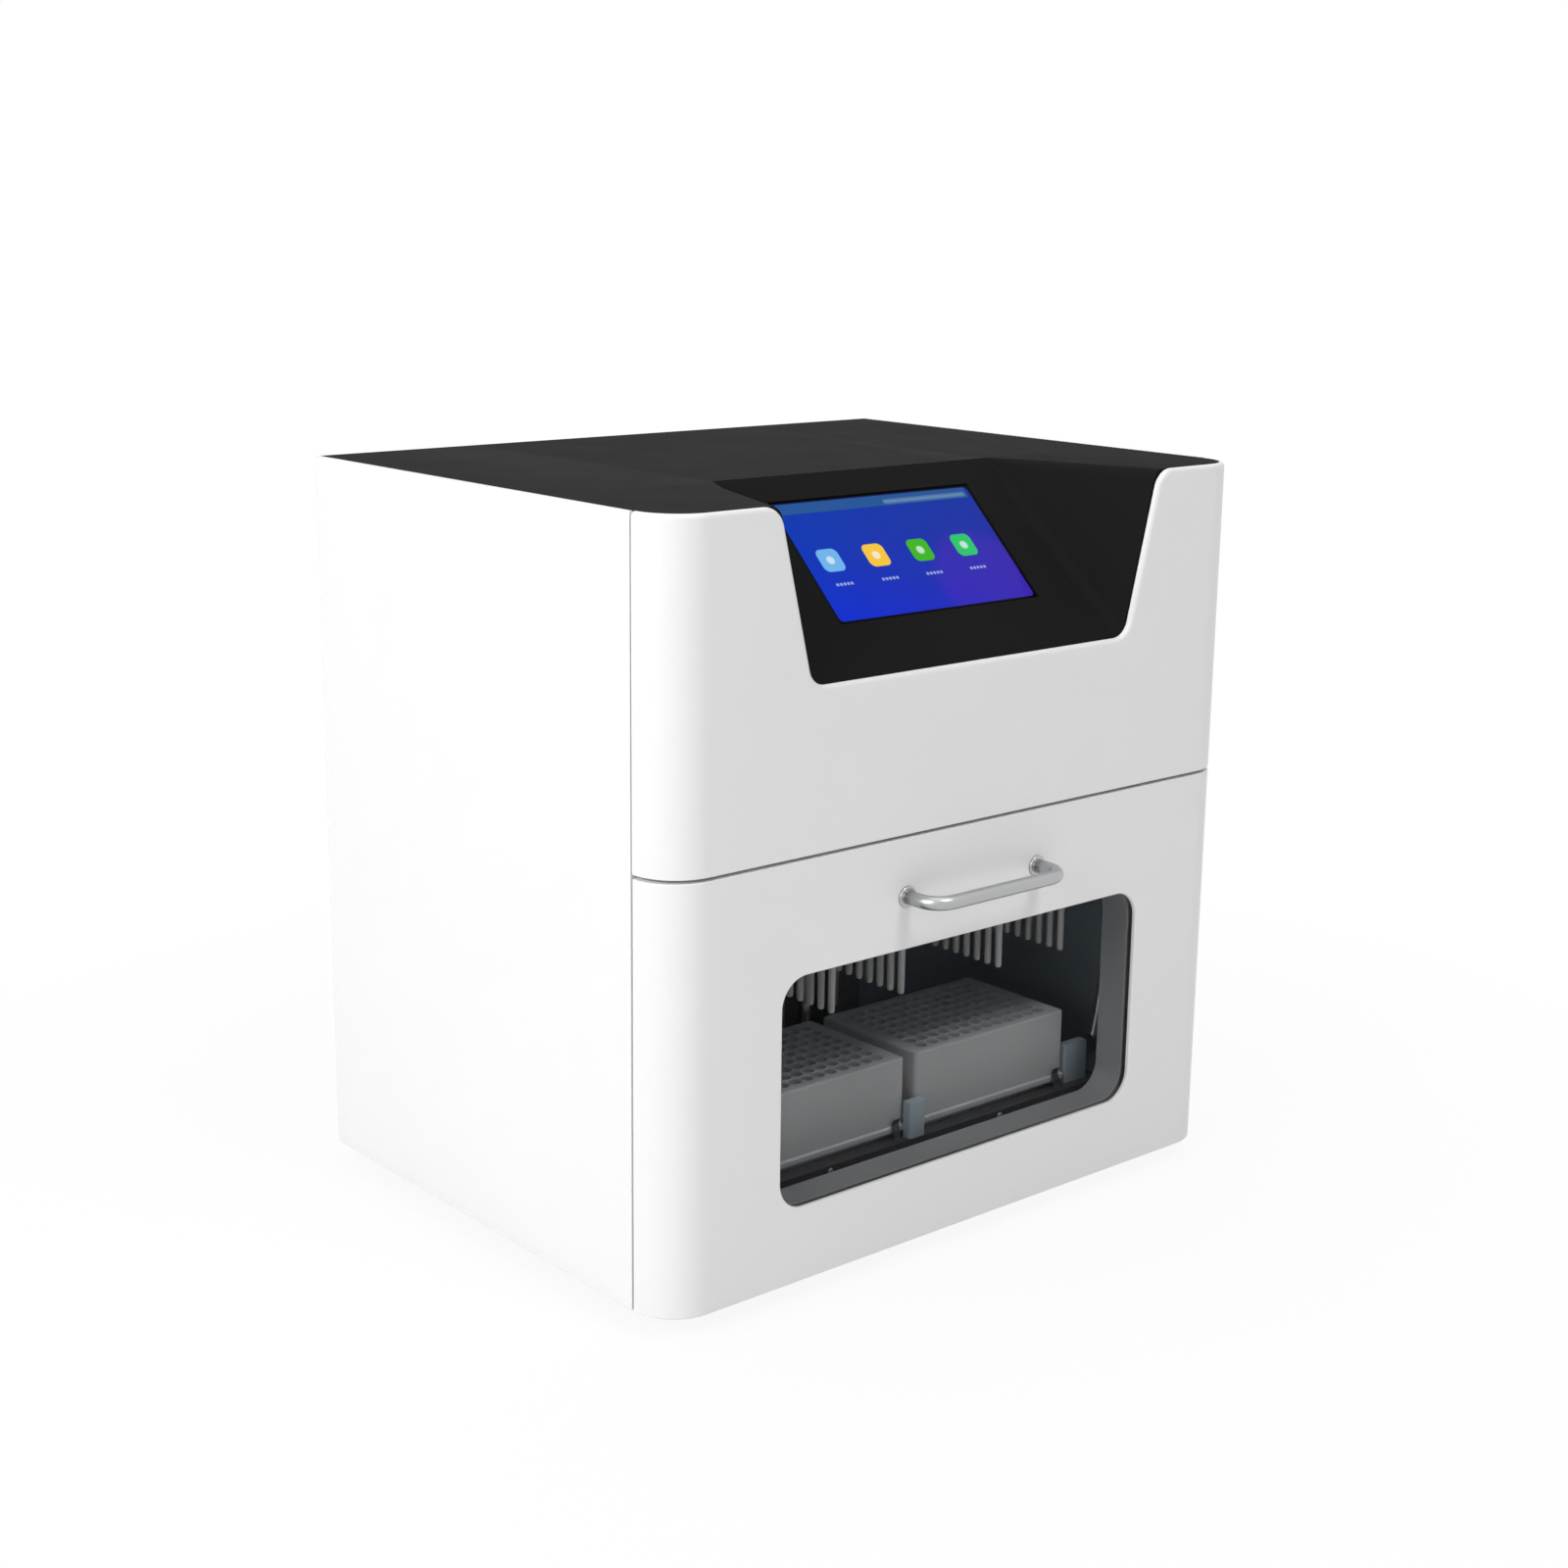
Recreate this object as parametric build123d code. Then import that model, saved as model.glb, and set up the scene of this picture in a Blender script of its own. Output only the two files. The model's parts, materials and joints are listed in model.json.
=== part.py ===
from build123d import *
import math
import os

# Nucleic acid extractor, 32 samples in two 96-well deep-well plates.
# Millimetres. Built with x = 0 at the middle, y = 0 at the front face and z = 0 at the underside of the
# housing; place() then moves every piece so that the origin is under the middle of the object's box.

os.makedirs("parts", exist_ok=True)

# ---- driving dimensions: housing ----
BODY_W = 430.0
BODY_D = 330.0
BODY_H = 422.5
FOOT_H = 12.0
FOOT_R = 14.0
FOOT_INSET = 48.0            # feet, in from the side panels' inner faces
FOOT_FRONT_Y = 70.0
FOOT_REAR = 45.0             # rear feet, in from the back
CORNER_R = 27.0          # upright front corners of the housing
SHEET = 2.0              # folded steel sheet
SHELL = 3.0              # wall of the door and of the upper front shell
SHELL_BACK = 28.5        # how far the front shells reach back
SEAM = 1.0               # gap between the front shells and the side panels
FLANGE = 6.0             # front and top flanges of the side panels
REAR_FLANGE = 10.0
FIT_GAP = 0.3

# ---- lid with the slanted recess ----
LID_T = 3.0
RECESS_BACK_Y = 103.0
RECESS_ANGLE = 43.7
RECESS_FRONT_HALF = 118.0    # half width of the valley at the front
RECESS_TOP_HALF = 141.0      # half width of the rim at the front
RECESS_BACK_HALF = 104.5     # half width at the back edge
VALLEY_R = 6.0
RIM_R = 5.0
NOTCH_GAP = 1.1              # the shell's notch stands this far under and outside the recess
NOTCH_LOW_R = 11.5
NOTCH_TOP_R = 13.0
SHELL_EDGE_R = 1.2

# ---- touch screen ----
SCREEN_W = 151.0
SCREEN_H = 84.0
SCREEN_T = 2.2
SCREEN_UP = 78.5             # middle of the screen, up the slant from its front edge
SCREEN_GAP = 0.3
MODULE_RIM = 8.0
MODULE_T = 14.0

# ---- door ----
DOOR_H = 237.0
DOOR_GAP = 2.0               # seam between the door and the upper front shell
DOOR_FLANGE = 2.5
WINDOW_W = 276.0
WINDOW_H = 131.0
WINDOW_MID_Z = 108.5
WINDOW_R = 17.0
PANE_T = 3.0
PANE_LAP = 6.0
TUNNEL_WALL = 8.0
LINER_Y = 24.5
LINER_T = 2.0
LINER_LOW_Z = 10.0
HINGE_Y = 8.5
HINGE_Z = 4.5
KNUCKLE_R = 4.5
PIN_R = 2.0
RUN_GAP = 0.05               # radial clearance of shafts and pins
HINGE_INSET = 34.0           # hinge arms, in from the sides of the chamber's opening
HINGE_PAD_HALF = 12.0
HINGE_ARM_W = 10.0
KNUCKLE_W = 8.0
HANDLE_HALF = 50.5
HANDLE_OUT = 27.0            # front of the handle's bar, out from the door
HANDLE_R = 4.0
HANDLE_BEND = 13.0
HANDLE_Z = 204.0
HANDLE_COLLAR = 2.0
HANDLE_COLLAR_T = 1.5

# ---- door stays ----
STAY_INSET = 14.0            # stays, in from the sides of the chamber's opening
STAY_LOW = (57.0, 55.0)      # y, z of the pivot on the cabinet
STAY_HIGH = (31.5, 215.0)    # y, z of the pivot on the closed door
STAY_TUBE_R = 4.0
STAY_TUBE_L = 120.0
STAY_ROD_R = 2.0
STAY_ROD_TAIL = 14.0         # where the rod's tail lies above the low pivot, closed
STAY_EYE_W = 9.0
STAY_EYE_R = 4.5
STAY_LOW_EYE_R = 6.0
STAY_STUD_R = 3.0
STAY_COLLAR = 0.8            # how far the collar at the tube's mouth stands out
STAY_COLLAR_L = 8.0
STAY_PAD = 9.0               # half width of the pad behind the lower stud
STAY_PAD_T = 4.0
STAY_FOOT_T = 6.0
STAY_STUD_GAP = 0.9          # between the upper stud and the stay's eye

# ---- chamber ----
OPENING_RIM = 29.0           # from the side panels' inner faces to the chamber's opening
OPENING_LOW = 24.0
OPENING_TOP = 224.0
FRAME_DROP = 122.5           # from the top of the housing down to the top of the front frame
GASKET_W = 8.0
CATCH_W = 10.0               # square magnets and the plates that meet them
CATCH_OUT = 8.0              # catches, out from the gasket
CATCH_DROP = 4.0
CATCH_GAP = 0.3
CATCH_T = 1.2
CHAMBER_STEP = 6.0           # how much wider than the opening the chamber is, on each side
CHAMBER_BACK = 190.0
CHAMBER_DROP = 77.5          # from the top of the housing down to the top of the chamber's walls
FLOOR_Z = 20.0
DECK_Z = 33.0
DECK_T = 7.0
DECK_HALF = 160.0
DECK_FRONT = 38.5
DECK_BACK = 134.0
DECK_CORNER_R = 6.0
PILLAR = 10.0                # square pillars under the deck
PILLAR_INSET = 12.0
HEATER_MARGIN = 4.0
CLAMP_T = 5.5
CLAMP_H = 25.0
CLAMP_W = 19.0
CLAMP_R = 2.0
CENTRE_CLAMP_HALF = 6.35
CENTRE_CLAMP_H = 22.0
PLATE_W = 127.76
PLATE_D = 85.48
PLATE_H = 44.0
PLATE_Z = 44.0
PLATE_FRONT = 45.0
PLATE_PITCH = 134.0
SKIRT_H = 3.5
SKIRT_STEP = 0.8
WELL = 8.2
WELL_PITCH = 9.0
WELL_DEPTH = 41.0
COLUMNS = 12
ROWS = 8

# ---- head ----
HOME_COLUMNS = 2             # home is this many columns right of the last working position
COMB_STEP = 6                # columns between the two combs of a plate
SLEEVE_R = 2.6
SLEEVE_LOW = 123.0
SLEEVE_BORE_R = 2.1
SLEEVE_END = 2.0
COMB_T = 2.0
COMB_W = 8.4
COMB_L = 78.0
SLEEVE_SIDES = 8
SLOT_HALF = 3.0              # half width of the racks' slots over the sleeves
RACK_T = 6.0
RACK_MARGIN = 14.5
RACK_FRONT = 50.0
RACK_BACK = 127.0
TONGUE_HALF = 36.0
TONGUE_BACK = 149.0
SLEEVE_RACK_Z = 191.0
MAGNET_RACK_Z = 264.0
MAGNET_R = 1.6
MAGNET_TIP = 193.0
MAGNET_SIDES = 8
MAGNET_SCREW_R = 3.0
MAGNET_SCREW_TOP = 12.0      # how far the magnet screw stands out of the magnet rack's underside
MAGNET_MOTOR_L = 20.0
SHAFT_R = 5.0
SHAFT_X = 22.0
SHAFT_Y = 140.0
BUSH = 15.6                  # square bronze bushes
BUSH_H = 18.0
SCREW_R = 4.0
NUT = 14.0                   # square nuts
SCREW_END = 0.1              # end clearance of the lead screws
CARRIAGE_HALF = 54.0
CARRIAGE_Y = 150.0
CARRIAGE_T = 4.0
CARRIAGE_LOW = 62.0
CARRIAGE_DROP = 70.5         # from the top of the housing down to the top of the carriage
BRACKET_T = 6.0
TOP_BRACKET_REACH = 23.0     # how far the top bracket comes forward of the shafts
RAIL_LOW_Z = 190.0
RAIL_DROP = 32.0             # from the top of the carriage down to the upper rail
RAIL_H = 14.0
RAIL_D = 12.0
RAIL_END = 10.0              # from the chamber's side walls to the rails' ends
BEARING_X = 32.0
BEARING_W = 32.0
BEARING_WALL = 7.0
BEARING_GAP = 2.0
DRIVE_Y = 168.0
DRIVE_LEFT = -112.0
DRIVE_END = 48.0             # from the chamber's right wall to the drive motor's plate
DRIVE_PLATE_T = 6.0
DRIVE_PLATE = 36.0
DRIVE_BEARING = 18.0
DRIVE_NUT_W = 24.0
DRIVE_NUT_H = 20.0
MOTOR = 35.0
DRIVE_MOTOR_L = 34.0
LIFT_MOTOR = 42.0
LIFT_MOTOR_L = 40.0

# ---- rear ----
FAN = 92.0
FAN_T = 25.0
FAN_INSET = 105.0            # fan, in from the housing's right side
FAN_DROP = 132.5
FAN_BORE_R = 42.0
FAN_HUB_R = 18.0
FAN_WEB_T = 2.5
FAN_SPOKE = 4.0
BLADES = 7
BLADE_CHORD = 24.0
BLADE_T = 1.6
BLADE_PITCH = 38.0
VENT_SLOT = 4.0
VENT_PITCH = 8.0
VENT_HALF = 30.0
VENTS = 8
INLET_INSET = 65.0           # inlet, in from the housing's left side
SWITCH_STEP = 24.0           # from the inlet to the switch
USB_STEP = 85.0              # from the inlet to the data sockets
PORT_Z = 80.0
PORT_FLANGE = 3.0
PORT_RIM = 2.0
INLET_CUT = (28.0, 20.0)
INLET_WALL = 1.75
INLET_DEPTH = 24.0
SOCKET_DEPTH = 15.0
SOCKET_CUT = 4.0             # cut corners of the inlet's socket
SWITCH_CUT = (14.0, 20.0)
SWITCH_WALL = 1.5
SWITCH_DEPTH = 16.0
WELL_FLOOR = 10.0            # depth of the switch's well, behind the rear panel's face
USB_CUT = (14.0, 14.0)
USB_DEPTH = 18.0
USB_SLOT = (12.0, 4.8)
USB_TONGUE = (10.0, 1.4)
USB_MOUTH = 12.0
USB_PITCH = 6.8
ROCKER_SINK = 2.5            # the rocker's axis, in from the rear face
ROCKER_TILT = 7.0
ROCKER_GAP = 1.0
SUPPLY_W = 100.0
SUPPLY_TOP = 52.0
SUPPLY_INSET = 23.0
SUPPLY_SLOTS = 6
BOARD_W = 170.0
BOARD_T = 1.6
STANDOFF = 8.0

# ---- derived ----
HALF = BODY_W / 2
INNER_HALF = HALF - SHEET
FOOT_X = INNER_HALF - FOOT_INSET
FOOT_REAR_Y = BODY_D - FOOT_REAR
OPENING_HALF = INNER_HALF - OPENING_RIM
CHAMBER_HALF = OPENING_HALF + CHAMBER_STEP
HINGE_X = OPENING_HALF - HINGE_INSET
STAY_X = OPENING_HALF - STAY_INSET
CATCH_X = OPENING_HALF + GASKET_W + CATCH_OUT
CATCH_Z = OPENING_TOP - CATCH_DROP
FRAME_TOP = BODY_H - FRAME_DROP
CHAMBER_TOP = BODY_H - CHAMBER_DROP
CARRIAGE_TOP = BODY_H - CARRIAGE_DROP
RAIL_HIGH_Z = CARRIAGE_TOP - RAIL_DROP
RAIL_HALF = CHAMBER_HALF - RAIL_END
DRIVE_Z = (RAIL_LOW_Z + RAIL_HIGH_Z) / 2
DRIVE_RIGHT = CHAMBER_HALF - DRIVE_END
FAN_X = HALF - FAN_INSET
FAN_Z = BODY_H - FAN_DROP
INLET_X = INLET_INSET - HALF
SWITCH_X = INLET_X + SWITCH_STEP
USB_X = INLET_X + USB_STEP
ROCKER_AXIS_Y = BODY_D - ROCKER_SINK
PANEL_FRONT = SHELL_BACK + SEAM
FRAME_Y = PANEL_FRONT + SHEET
REAR_Y = BODY_D - SHEET
LID_Z = BODY_H - LID_T
UPPER_Z = DOOR_H + DOOR_GAP
PLATE_MID_Y = PLATE_FRONT + PLATE_D / 2
PLATE_TOP = PLATE_Z + PLATE_H
COLUMN_12 = PLATE_PITCH / 2 + (COLUMNS - 1) / 2 * WELL_PITCH
COMB_RIGHT = COLUMN_12 + HOME_COLUMNS * WELL_PITCH
COMB_X = [COMB_RIGHT - plate * PLATE_PITCH - comb * COMB_STEP * WELL_PITCH for plate in (1, 0) for comb in (1, 0)]
ROW_Y = [PLATE_MID_Y + (row - (ROWS - 1) / 2) * WELL_PITCH for row in range(ROWS)]
HEAD_X = (COMB_X[0] + COMB_X[-1]) / 2
RACK_HALF = (COMB_X[-1] - COMB_X[0]) / 2 + RACK_MARGIN
Y_MID = (BODY_D + PORT_FLANGE - HANDLE_OUT) / 2
SLANT = math.radians(RECESS_ANGLE)
RECESS_LOW_Z = BODY_H - (RECESS_BACK_Y - SHELL) * math.tan(SLANT)
PANEL_PLANE = Plane(origin=(0, SHELL, RECESS_LOW_Z), x_dir=(1, 0, 0), z_dir=(0, -math.sin(SLANT), math.cos(SLANT)))
PANE_Y = SHELL + PANE_T
BIG = 600.0


# ---- small helpers ----
def block(x0, x1, y0, y1, z0, z1):
    return Pos((x0 + x1) / 2, (y0 + y1) / 2, (z0 + z1) / 2) * Box(x1 - x0, y1 - y0, z1 - z0)


def bar_x(radius, x0, x1, y, z):
    return Pos((x0 + x1) / 2, y, z) * Rot(0, 90, 0) * Cylinder(radius, x1 - x0)


def bar_y(radius, y0, y1, x, z):
    return Pos(x, (y0 + y1) / 2, z) * Rot(90, 0, 0) * Cylinder(radius, y1 - y0)


def bar_z(radius, z0, z1, x, y):
    return Pos(x, y, (z0 + z1) / 2) * Cylinder(radius, z1 - z0)


def post(side, z0, z1, x, y):
    """An upright square bar."""
    return Pos(x, y, (z0 + z1) / 2) * Box(side, side, z1 - z0)


def prism(radius, sides, z0, z1, x, y):
    """An upright bar with flat sides, its corners on a circle."""
    return Pos(x, y, z0) * extrude(RegularPolygon(radius, sides), z1 - z0)


def both_sides(piece):
    return piece + mirror(piece, about=Plane.YZ)


def front_plan(inset):
    """Plan of the front shells: a rectangle with round front corners, drawn in by an inset."""
    plate = Pos(0, (inset + SHELL_BACK) / 2) * Rectangle(BODY_W - 2 * inset, SHELL_BACK - inset)
    return fillet(plate.vertices().sort_by(Axis.Y)[:2], CORNER_R - inset)


def tall(plan, z0, z1):
    return Pos(0, 0, z0) * extrude(plan, z1 - z0)


def window_block(grow, y0, y1):
    """The window's rounded outline, grown all round, from y0 back to y1."""
    outline = RectangleRounded(WINDOW_W + 2 * grow, WINDOW_H + 2 * grow, WINDOW_R + grow)
    return Pos(0, y1, WINDOW_MID_Z) * Rot(90, 0, 0) * extrude(outline, y1 - y0)


def recess(grow, top):
    """The slanted hollow in the lid: a wedge between two flared sides, grown outwards by a wall."""
    floor_low = RECESS_LOW_Z - grow / math.cos(SLANT)
    reach = (top - floor_low) / math.tan(SLANT)
    low_y = -SHELL
    low_z = floor_low - (SHELL - low_y) * math.tan(SLANT)
    outline = Polyline((low_y, low_z), (SHELL + reach, top), (low_y, top), close=True)
    wedge = extrude(Plane.YZ * make_face(outline), BIG / 2, both=True)
    corner = Vector(RECESS_FRONT_HALF, SHELL, RECESS_LOW_Z)
    rim = Vector(RECESS_TOP_HALF, SHELL, BODY_H)
    back = Vector(RECESS_BACK_HALF, RECESS_BACK_Y, BODY_H)
    outward = (back - corner).cross(rim - corner).normalized()
    for sign in (1, -1):
        normal = Vector(sign * outward.X, outward.Y, outward.Z)
        start = Vector(sign * corner.X, corner.Y, corner.Z) + normal * grow
        wedge = split(wedge, bisect_by=Plane(origin=start, z_dir=normal), keep=Keep.BOTTOM)
    return wedge


def on_slant(width, height, low, high, middle=SCREEN_UP):
    """A block on the slanted panel, from low to high above its surface."""
    return PANEL_PLANE.location * Pos(0, middle, (low + high) / 2) * Box(width, height, high - low)


def place(piece):
    return Pos(0, -Y_MID, FOOT_H) * piece


def save(name, piece):
    export_step(place(piece), f"parts/{name}.step")


# ---- cabinet ----
def base_tray():
    floor = block(-INNER_HALF, INNER_HALF, FRAME_Y, REAR_Y - SHEET, 0, SHEET)
    side = block(INNER_HALF - SHEET, INNER_HALF, FRAME_Y + SHEET, REAR_Y - SHEET, SHEET, FLOOR_Z)
    return floor + both_sides(side)


def side_panel():
    """Right side panel: a sheet with flanges turned in along its front, top and rear edges."""
    sheet = block(INNER_HALF, HALF, PANEL_FRONT, BODY_D, 0, BODY_H)
    front = block(INNER_HALF - FLANGE, INNER_HALF, PANEL_FRONT, FRAME_Y, 0, LID_Z)
    top = block(INNER_HALF - FLANGE, INNER_HALF, FRAME_Y, REAR_Y, LID_Z - SHEET, LID_Z)
    rear = block(INNER_HALF - REAR_FLANGE, INNER_HALF, REAR_Y - SHEET, REAR_Y, 0, LID_Z)
    return sheet + front + top + rear


def rear_panel():
    """Rear sheet with the fan's slots, cut to its round, a column of vent slots and the ports."""
    panel = block(-INNER_HALF, INNER_HALF, REAR_Y, BODY_D, 0, LID_Z)
    reach = FAN_BORE_R - VENT_SLOT / 2
    steps = int(reach // VENT_PITCH)
    for step in range(-steps, steps + 1):
        offset = step * VENT_PITCH
        half = math.sqrt(FAN_BORE_R ** 2 - offset ** 2) - VENT_SLOT / 2
        x = FAN_X + offset
        panel -= block(x - VENT_SLOT / 2, x + VENT_SLOT / 2, REAR_Y, BODY_D, FAN_Z - half, FAN_Z + half)
    for step in range(VENTS):
        z = FAN_Z - FAN / 2 + step * VENT_PITCH * 1.5
        panel -= block(-FAN_X - VENT_HALF, -FAN_X + VENT_HALF, REAR_Y, BODY_D, z, z + VENT_SLOT)
    panel -= port_block(INLET_X, INLET_CUT, REAR_Y, BODY_D)
    panel -= port_block(SWITCH_X, SWITCH_CUT, REAR_Y, BODY_D)
    panel -= port_block(USB_X, USB_CUT, REAR_Y, BODY_D)
    return panel


def port_block(x, size, y0, y1):
    width, height = size
    return block(x - width / 2, x + width / 2, y0, y1, PORT_Z - height / 2, PORT_Z + height / 2)


def top_lid():
    """Moulded lid: a flat top that folds down into the slanted recess for the screen."""
    rear = Pos(0, (SHELL_BACK + BODY_D) / 2) * Rectangle(2 * (INNER_HALF - FIT_GAP), BODY_D - SHELL_BACK)
    inset = SHELL + FIT_GAP
    plate = tall(front_plan(inset) + rear, LID_Z, BODY_H)
    walls = recess(LID_T, BODY_H) & block(-HALF, HALF, inset, BODY_D, 0, BODY_H)
    lid = plate + walls - recess(0, BODY_H + 1)
    corner = Vector(RECESS_FRONT_HALF, SHELL, RECESS_LOW_Z)
    rim = Vector(RECESS_TOP_HALF, SHELL, BODY_H)
    back = Vector(RECESS_BACK_HALF, RECESS_BACK_Y, BODY_H)
    valleys = lid.edges().filter_by(lambda edge: runs_between(edge, corner, back))
    lid = fillet(valleys, VALLEY_R)
    rims = lid.edges().filter_by(lambda edge: runs_between(edge, rim, back))
    lid = fillet(rims, RIM_R)
    return lid - on_slant(SCREEN_W + 2 * SCREEN_GAP, SCREEN_H + 2 * SCREEN_GAP, -2 * LID_T, LID_T)


def runs_between(edge, start, end):
    """True for an edge whose middle lies on the line from start to end, on either side of x = 0."""
    middle = edge.center()
    point = Vector(abs(middle.X), middle.Y, middle.Z)
    along = (end - start).normalized()
    away = (point - start) - along * (point - start).dot(along)
    return away.length < SHELL / 2 and edge.length > CORNER_R


def upper_front_shell():
    wall = tall(front_plan(0), UPPER_Z, BODY_H) - tall(front_plan(SHELL), UPPER_Z + SHEET, BODY_H)
    low_half = RECESS_FRONT_HALF + NOTCH_GAP
    top_half = RECESS_TOP_HALF + NOTCH_GAP
    low_z = RECESS_LOW_Z + NOTCH_GAP
    outline = Polyline((-low_half, low_z), (low_half, low_z), (top_half, BODY_H), (top_half, BIG),
                       (-top_half, BIG), (-top_half, BODY_H), close=True)
    face = make_face(outline)
    face = fillet(face.vertices().sort_by(Axis.Y)[:2], NOTCH_LOW_R)
    notch = Pos(0, SHELL, 0) * Rot(90, 0, 0) * extrude(face, 2 * SHELL)
    wall -= notch
    tops = wall.edges().filter_by(lambda edge: is_notch_top(edge, top_half))
    wall = fillet(tops, NOTCH_TOP_R)
    lips = wall.edges().filter_by(lambda edge: is_outer_lip(edge, low_z))
    wall = fillet(lips, SHELL_EDGE_R)
    rib = block(OPENING_HALF, OPENING_HALF + 2 * SHEET, SHELL, FRAME_Y, UPPER_Z + SHEET, FRAME_TOP)
    return wall + both_sides(rib)


def is_notch_top(edge, top_half):
    middle = edge.center()
    return abs(middle.Z - BODY_H) < 1 and abs(abs(middle.X) - top_half) < 1 and abs(edge.length - SHELL) < 0.1


def is_outer_lip(edge, low_z):
    """Edges of the front face along the notch and along the top."""
    middle = edge.center()
    flat = all(abs(vertex.Y) < 0.01 for vertex in edge.vertices())
    return flat and abs(middle.Y) < 0.01 and middle.Z > low_z - 1 and abs(middle.X) < HALF - CORNER_R


def display_module():
    body = on_slant(SCREEN_W + 2 * MODULE_RIM, SCREEN_H + 2 * MODULE_RIM, -LID_T - MODULE_T, -LID_T)
    return body


def touchscreen_glass():
    glass = on_slant(SCREEN_W, SCREEN_H, -LID_T, -LID_T + SCREEN_T)
    return glass


def front_frame():
    frame = block(-INNER_HALF, INNER_HALF, FRAME_Y, FRAME_Y + SHEET, SHEET, FRAME_TOP)
    opening = block(-OPENING_HALF, OPENING_HALF, FRAME_Y, FRAME_Y + SHEET, OPENING_LOW, OPENING_TOP)
    return frame - fillet(opening.edges().filter_by(Axis.Y), SHELL)


def door_gasket():
    front = LINER_Y + LINER_T + FIT_GAP
    low = OPENING_LOW - GASKET_W
    top = OPENING_TOP + GASKET_W
    outer = block(-OPENING_HALF - GASKET_W, OPENING_HALF + GASKET_W, front, FRAME_Y, low, top)
    inner = block(-OPENING_HALF, OPENING_HALF, front, FRAME_Y, OPENING_LOW, OPENING_TOP)
    return outer - inner


def chamber_tub():
    """Floor and side walls of the chamber, folded from one sheet, with skirts down to the base tray."""
    outer = CHAMBER_HALF + SHEET
    front = FRAME_Y + SHEET
    floor = block(-outer, outer, front, CHAMBER_BACK, FLOOR_Z, FLOOR_Z + SHEET)
    wall = block(CHAMBER_HALF, outer, front, CHAMBER_BACK, SHEET, CHAMBER_TOP)
    return floor + both_sides(wall)


def chamber_back_panel():
    outer = CHAMBER_HALF + SHEET
    sheet = block(-outer, outer, CHAMBER_BACK, CHAMBER_BACK + SHEET, SHEET, CHAMBER_TOP)
    stiffener = block(-CHAMBER_HALF, CHAMBER_HALF, CHAMBER_BACK + SHEET, CHAMBER_BACK + REAR_FLANGE,
                      CHAMBER_TOP - SHEET, CHAMBER_TOP)
    return sheet + stiffener


def head_rails():
    rails = Part()
    for z in (RAIL_LOW_Z, RAIL_HIGH_Z):
        rail = block(-RAIL_HALF, RAIL_HALF, CHAMBER_BACK - RAIL_D, CHAMBER_BACK, z - RAIL_H / 2, z + RAIL_H / 2)
        rails += chamfer(rail.edges().filter_by(Axis.X).group_by(Axis.Y)[0], 1.0)
    return rails


def drive_supports():
    """End bearing and motor plate of the sideways lead screw, on the chamber's back panel."""
    left = drive_support(DRIVE_LEFT - DRIVE_PLATE_T, DRIVE_BEARING / 2)
    right = drive_support(DRIVE_RIGHT, DRIVE_PLATE / 2)
    start = DRIVE_LEFT - DRIVE_PLATE_T
    holes = bar_x(SCREW_R + RUN_GAP, start, DRIVE_RIGHT + DRIVE_PLATE_T, DRIVE_Y, DRIVE_Z)
    return left + right - holes


def drive_support(start, half):
    return block(start, start + DRIVE_PLATE_T, DRIVE_Y - half, CHAMBER_BACK, DRIVE_Z - half, DRIVE_Z + half)


def stepper(size, length):
    """Stepper motor with cut corners, standing on z = 0 with its face up."""
    body = Pos(0, 0, length / 2) * Box(size, size, length)
    return chamfer(body.edges().filter_by(Axis.Z), size / 9)


def drive_motor():
    start = DRIVE_RIGHT + DRIVE_PLATE_T
    return Pos(start, DRIVE_Y, DRIVE_Z) * Rot(0, 90, 0) * stepper(MOTOR, DRIVE_MOTOR_L)


def deck_plate():
    plate = block(-DECK_HALF, DECK_HALF, DECK_FRONT, DECK_BACK, DECK_Z, DECK_Z + DECK_T)
    plate = fillet(plate.edges().filter_by(Axis.Z), DECK_CORNER_R)
    for x in (PILLAR_INSET - DECK_HALF, 0, DECK_HALF - PILLAR_INSET):
        for y in (DECK_FRONT + PILLAR_INSET, DECK_BACK - PILLAR_INSET):
            plate += post(PILLAR, FLOOR_Z + SHEET, DECK_Z, x, y)
    return plate


def heater_blocks():
    """Aluminium heater under each plate."""
    mid = PLATE_PITCH / 2
    half = PLATE_W / 2 - HEATER_MARGIN
    front = PLATE_FRONT + HEATER_MARGIN
    back = PLATE_FRONT + PLATE_D - HEATER_MARGIN
    return both_sides(block(mid - half, mid + half, front, back, DECK_Z + DECK_T, PLATE_Z))


def deep_well_plate():
    """Right 96-well deep-well plate: skirt, body, raised square wells open at the top."""
    mid = PLATE_PITCH / 2
    half = PLATE_W / 2
    back = PLATE_FRONT + PLATE_D
    skirt = block(mid - half, mid + half, PLATE_FRONT, back, PLATE_Z, PLATE_Z + SKIRT_H)
    skirt = fillet(skirt.edges().filter_by(Axis.Z), 3.0)
    body = block(mid - half + SKIRT_STEP, mid + half - SKIRT_STEP, PLATE_FRONT + SKIRT_STEP, back - SKIRT_STEP,
                 PLATE_Z + SKIRT_H, PLATE_TOP)
    body = fillet(body.edges().filter_by(Axis.Z), 2.5)
    plate = skirt + body
    wells = Part()
    for column in range(COLUMNS):
        x = mid + (column - (COLUMNS - 1) / 2) * WELL_PITCH
        for y in ROW_Y:
            wells += Pos(x, y, PLATE_TOP - WELL_DEPTH / 2) * Box(WELL, WELL, WELL_DEPTH)
    return plate - wells


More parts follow.
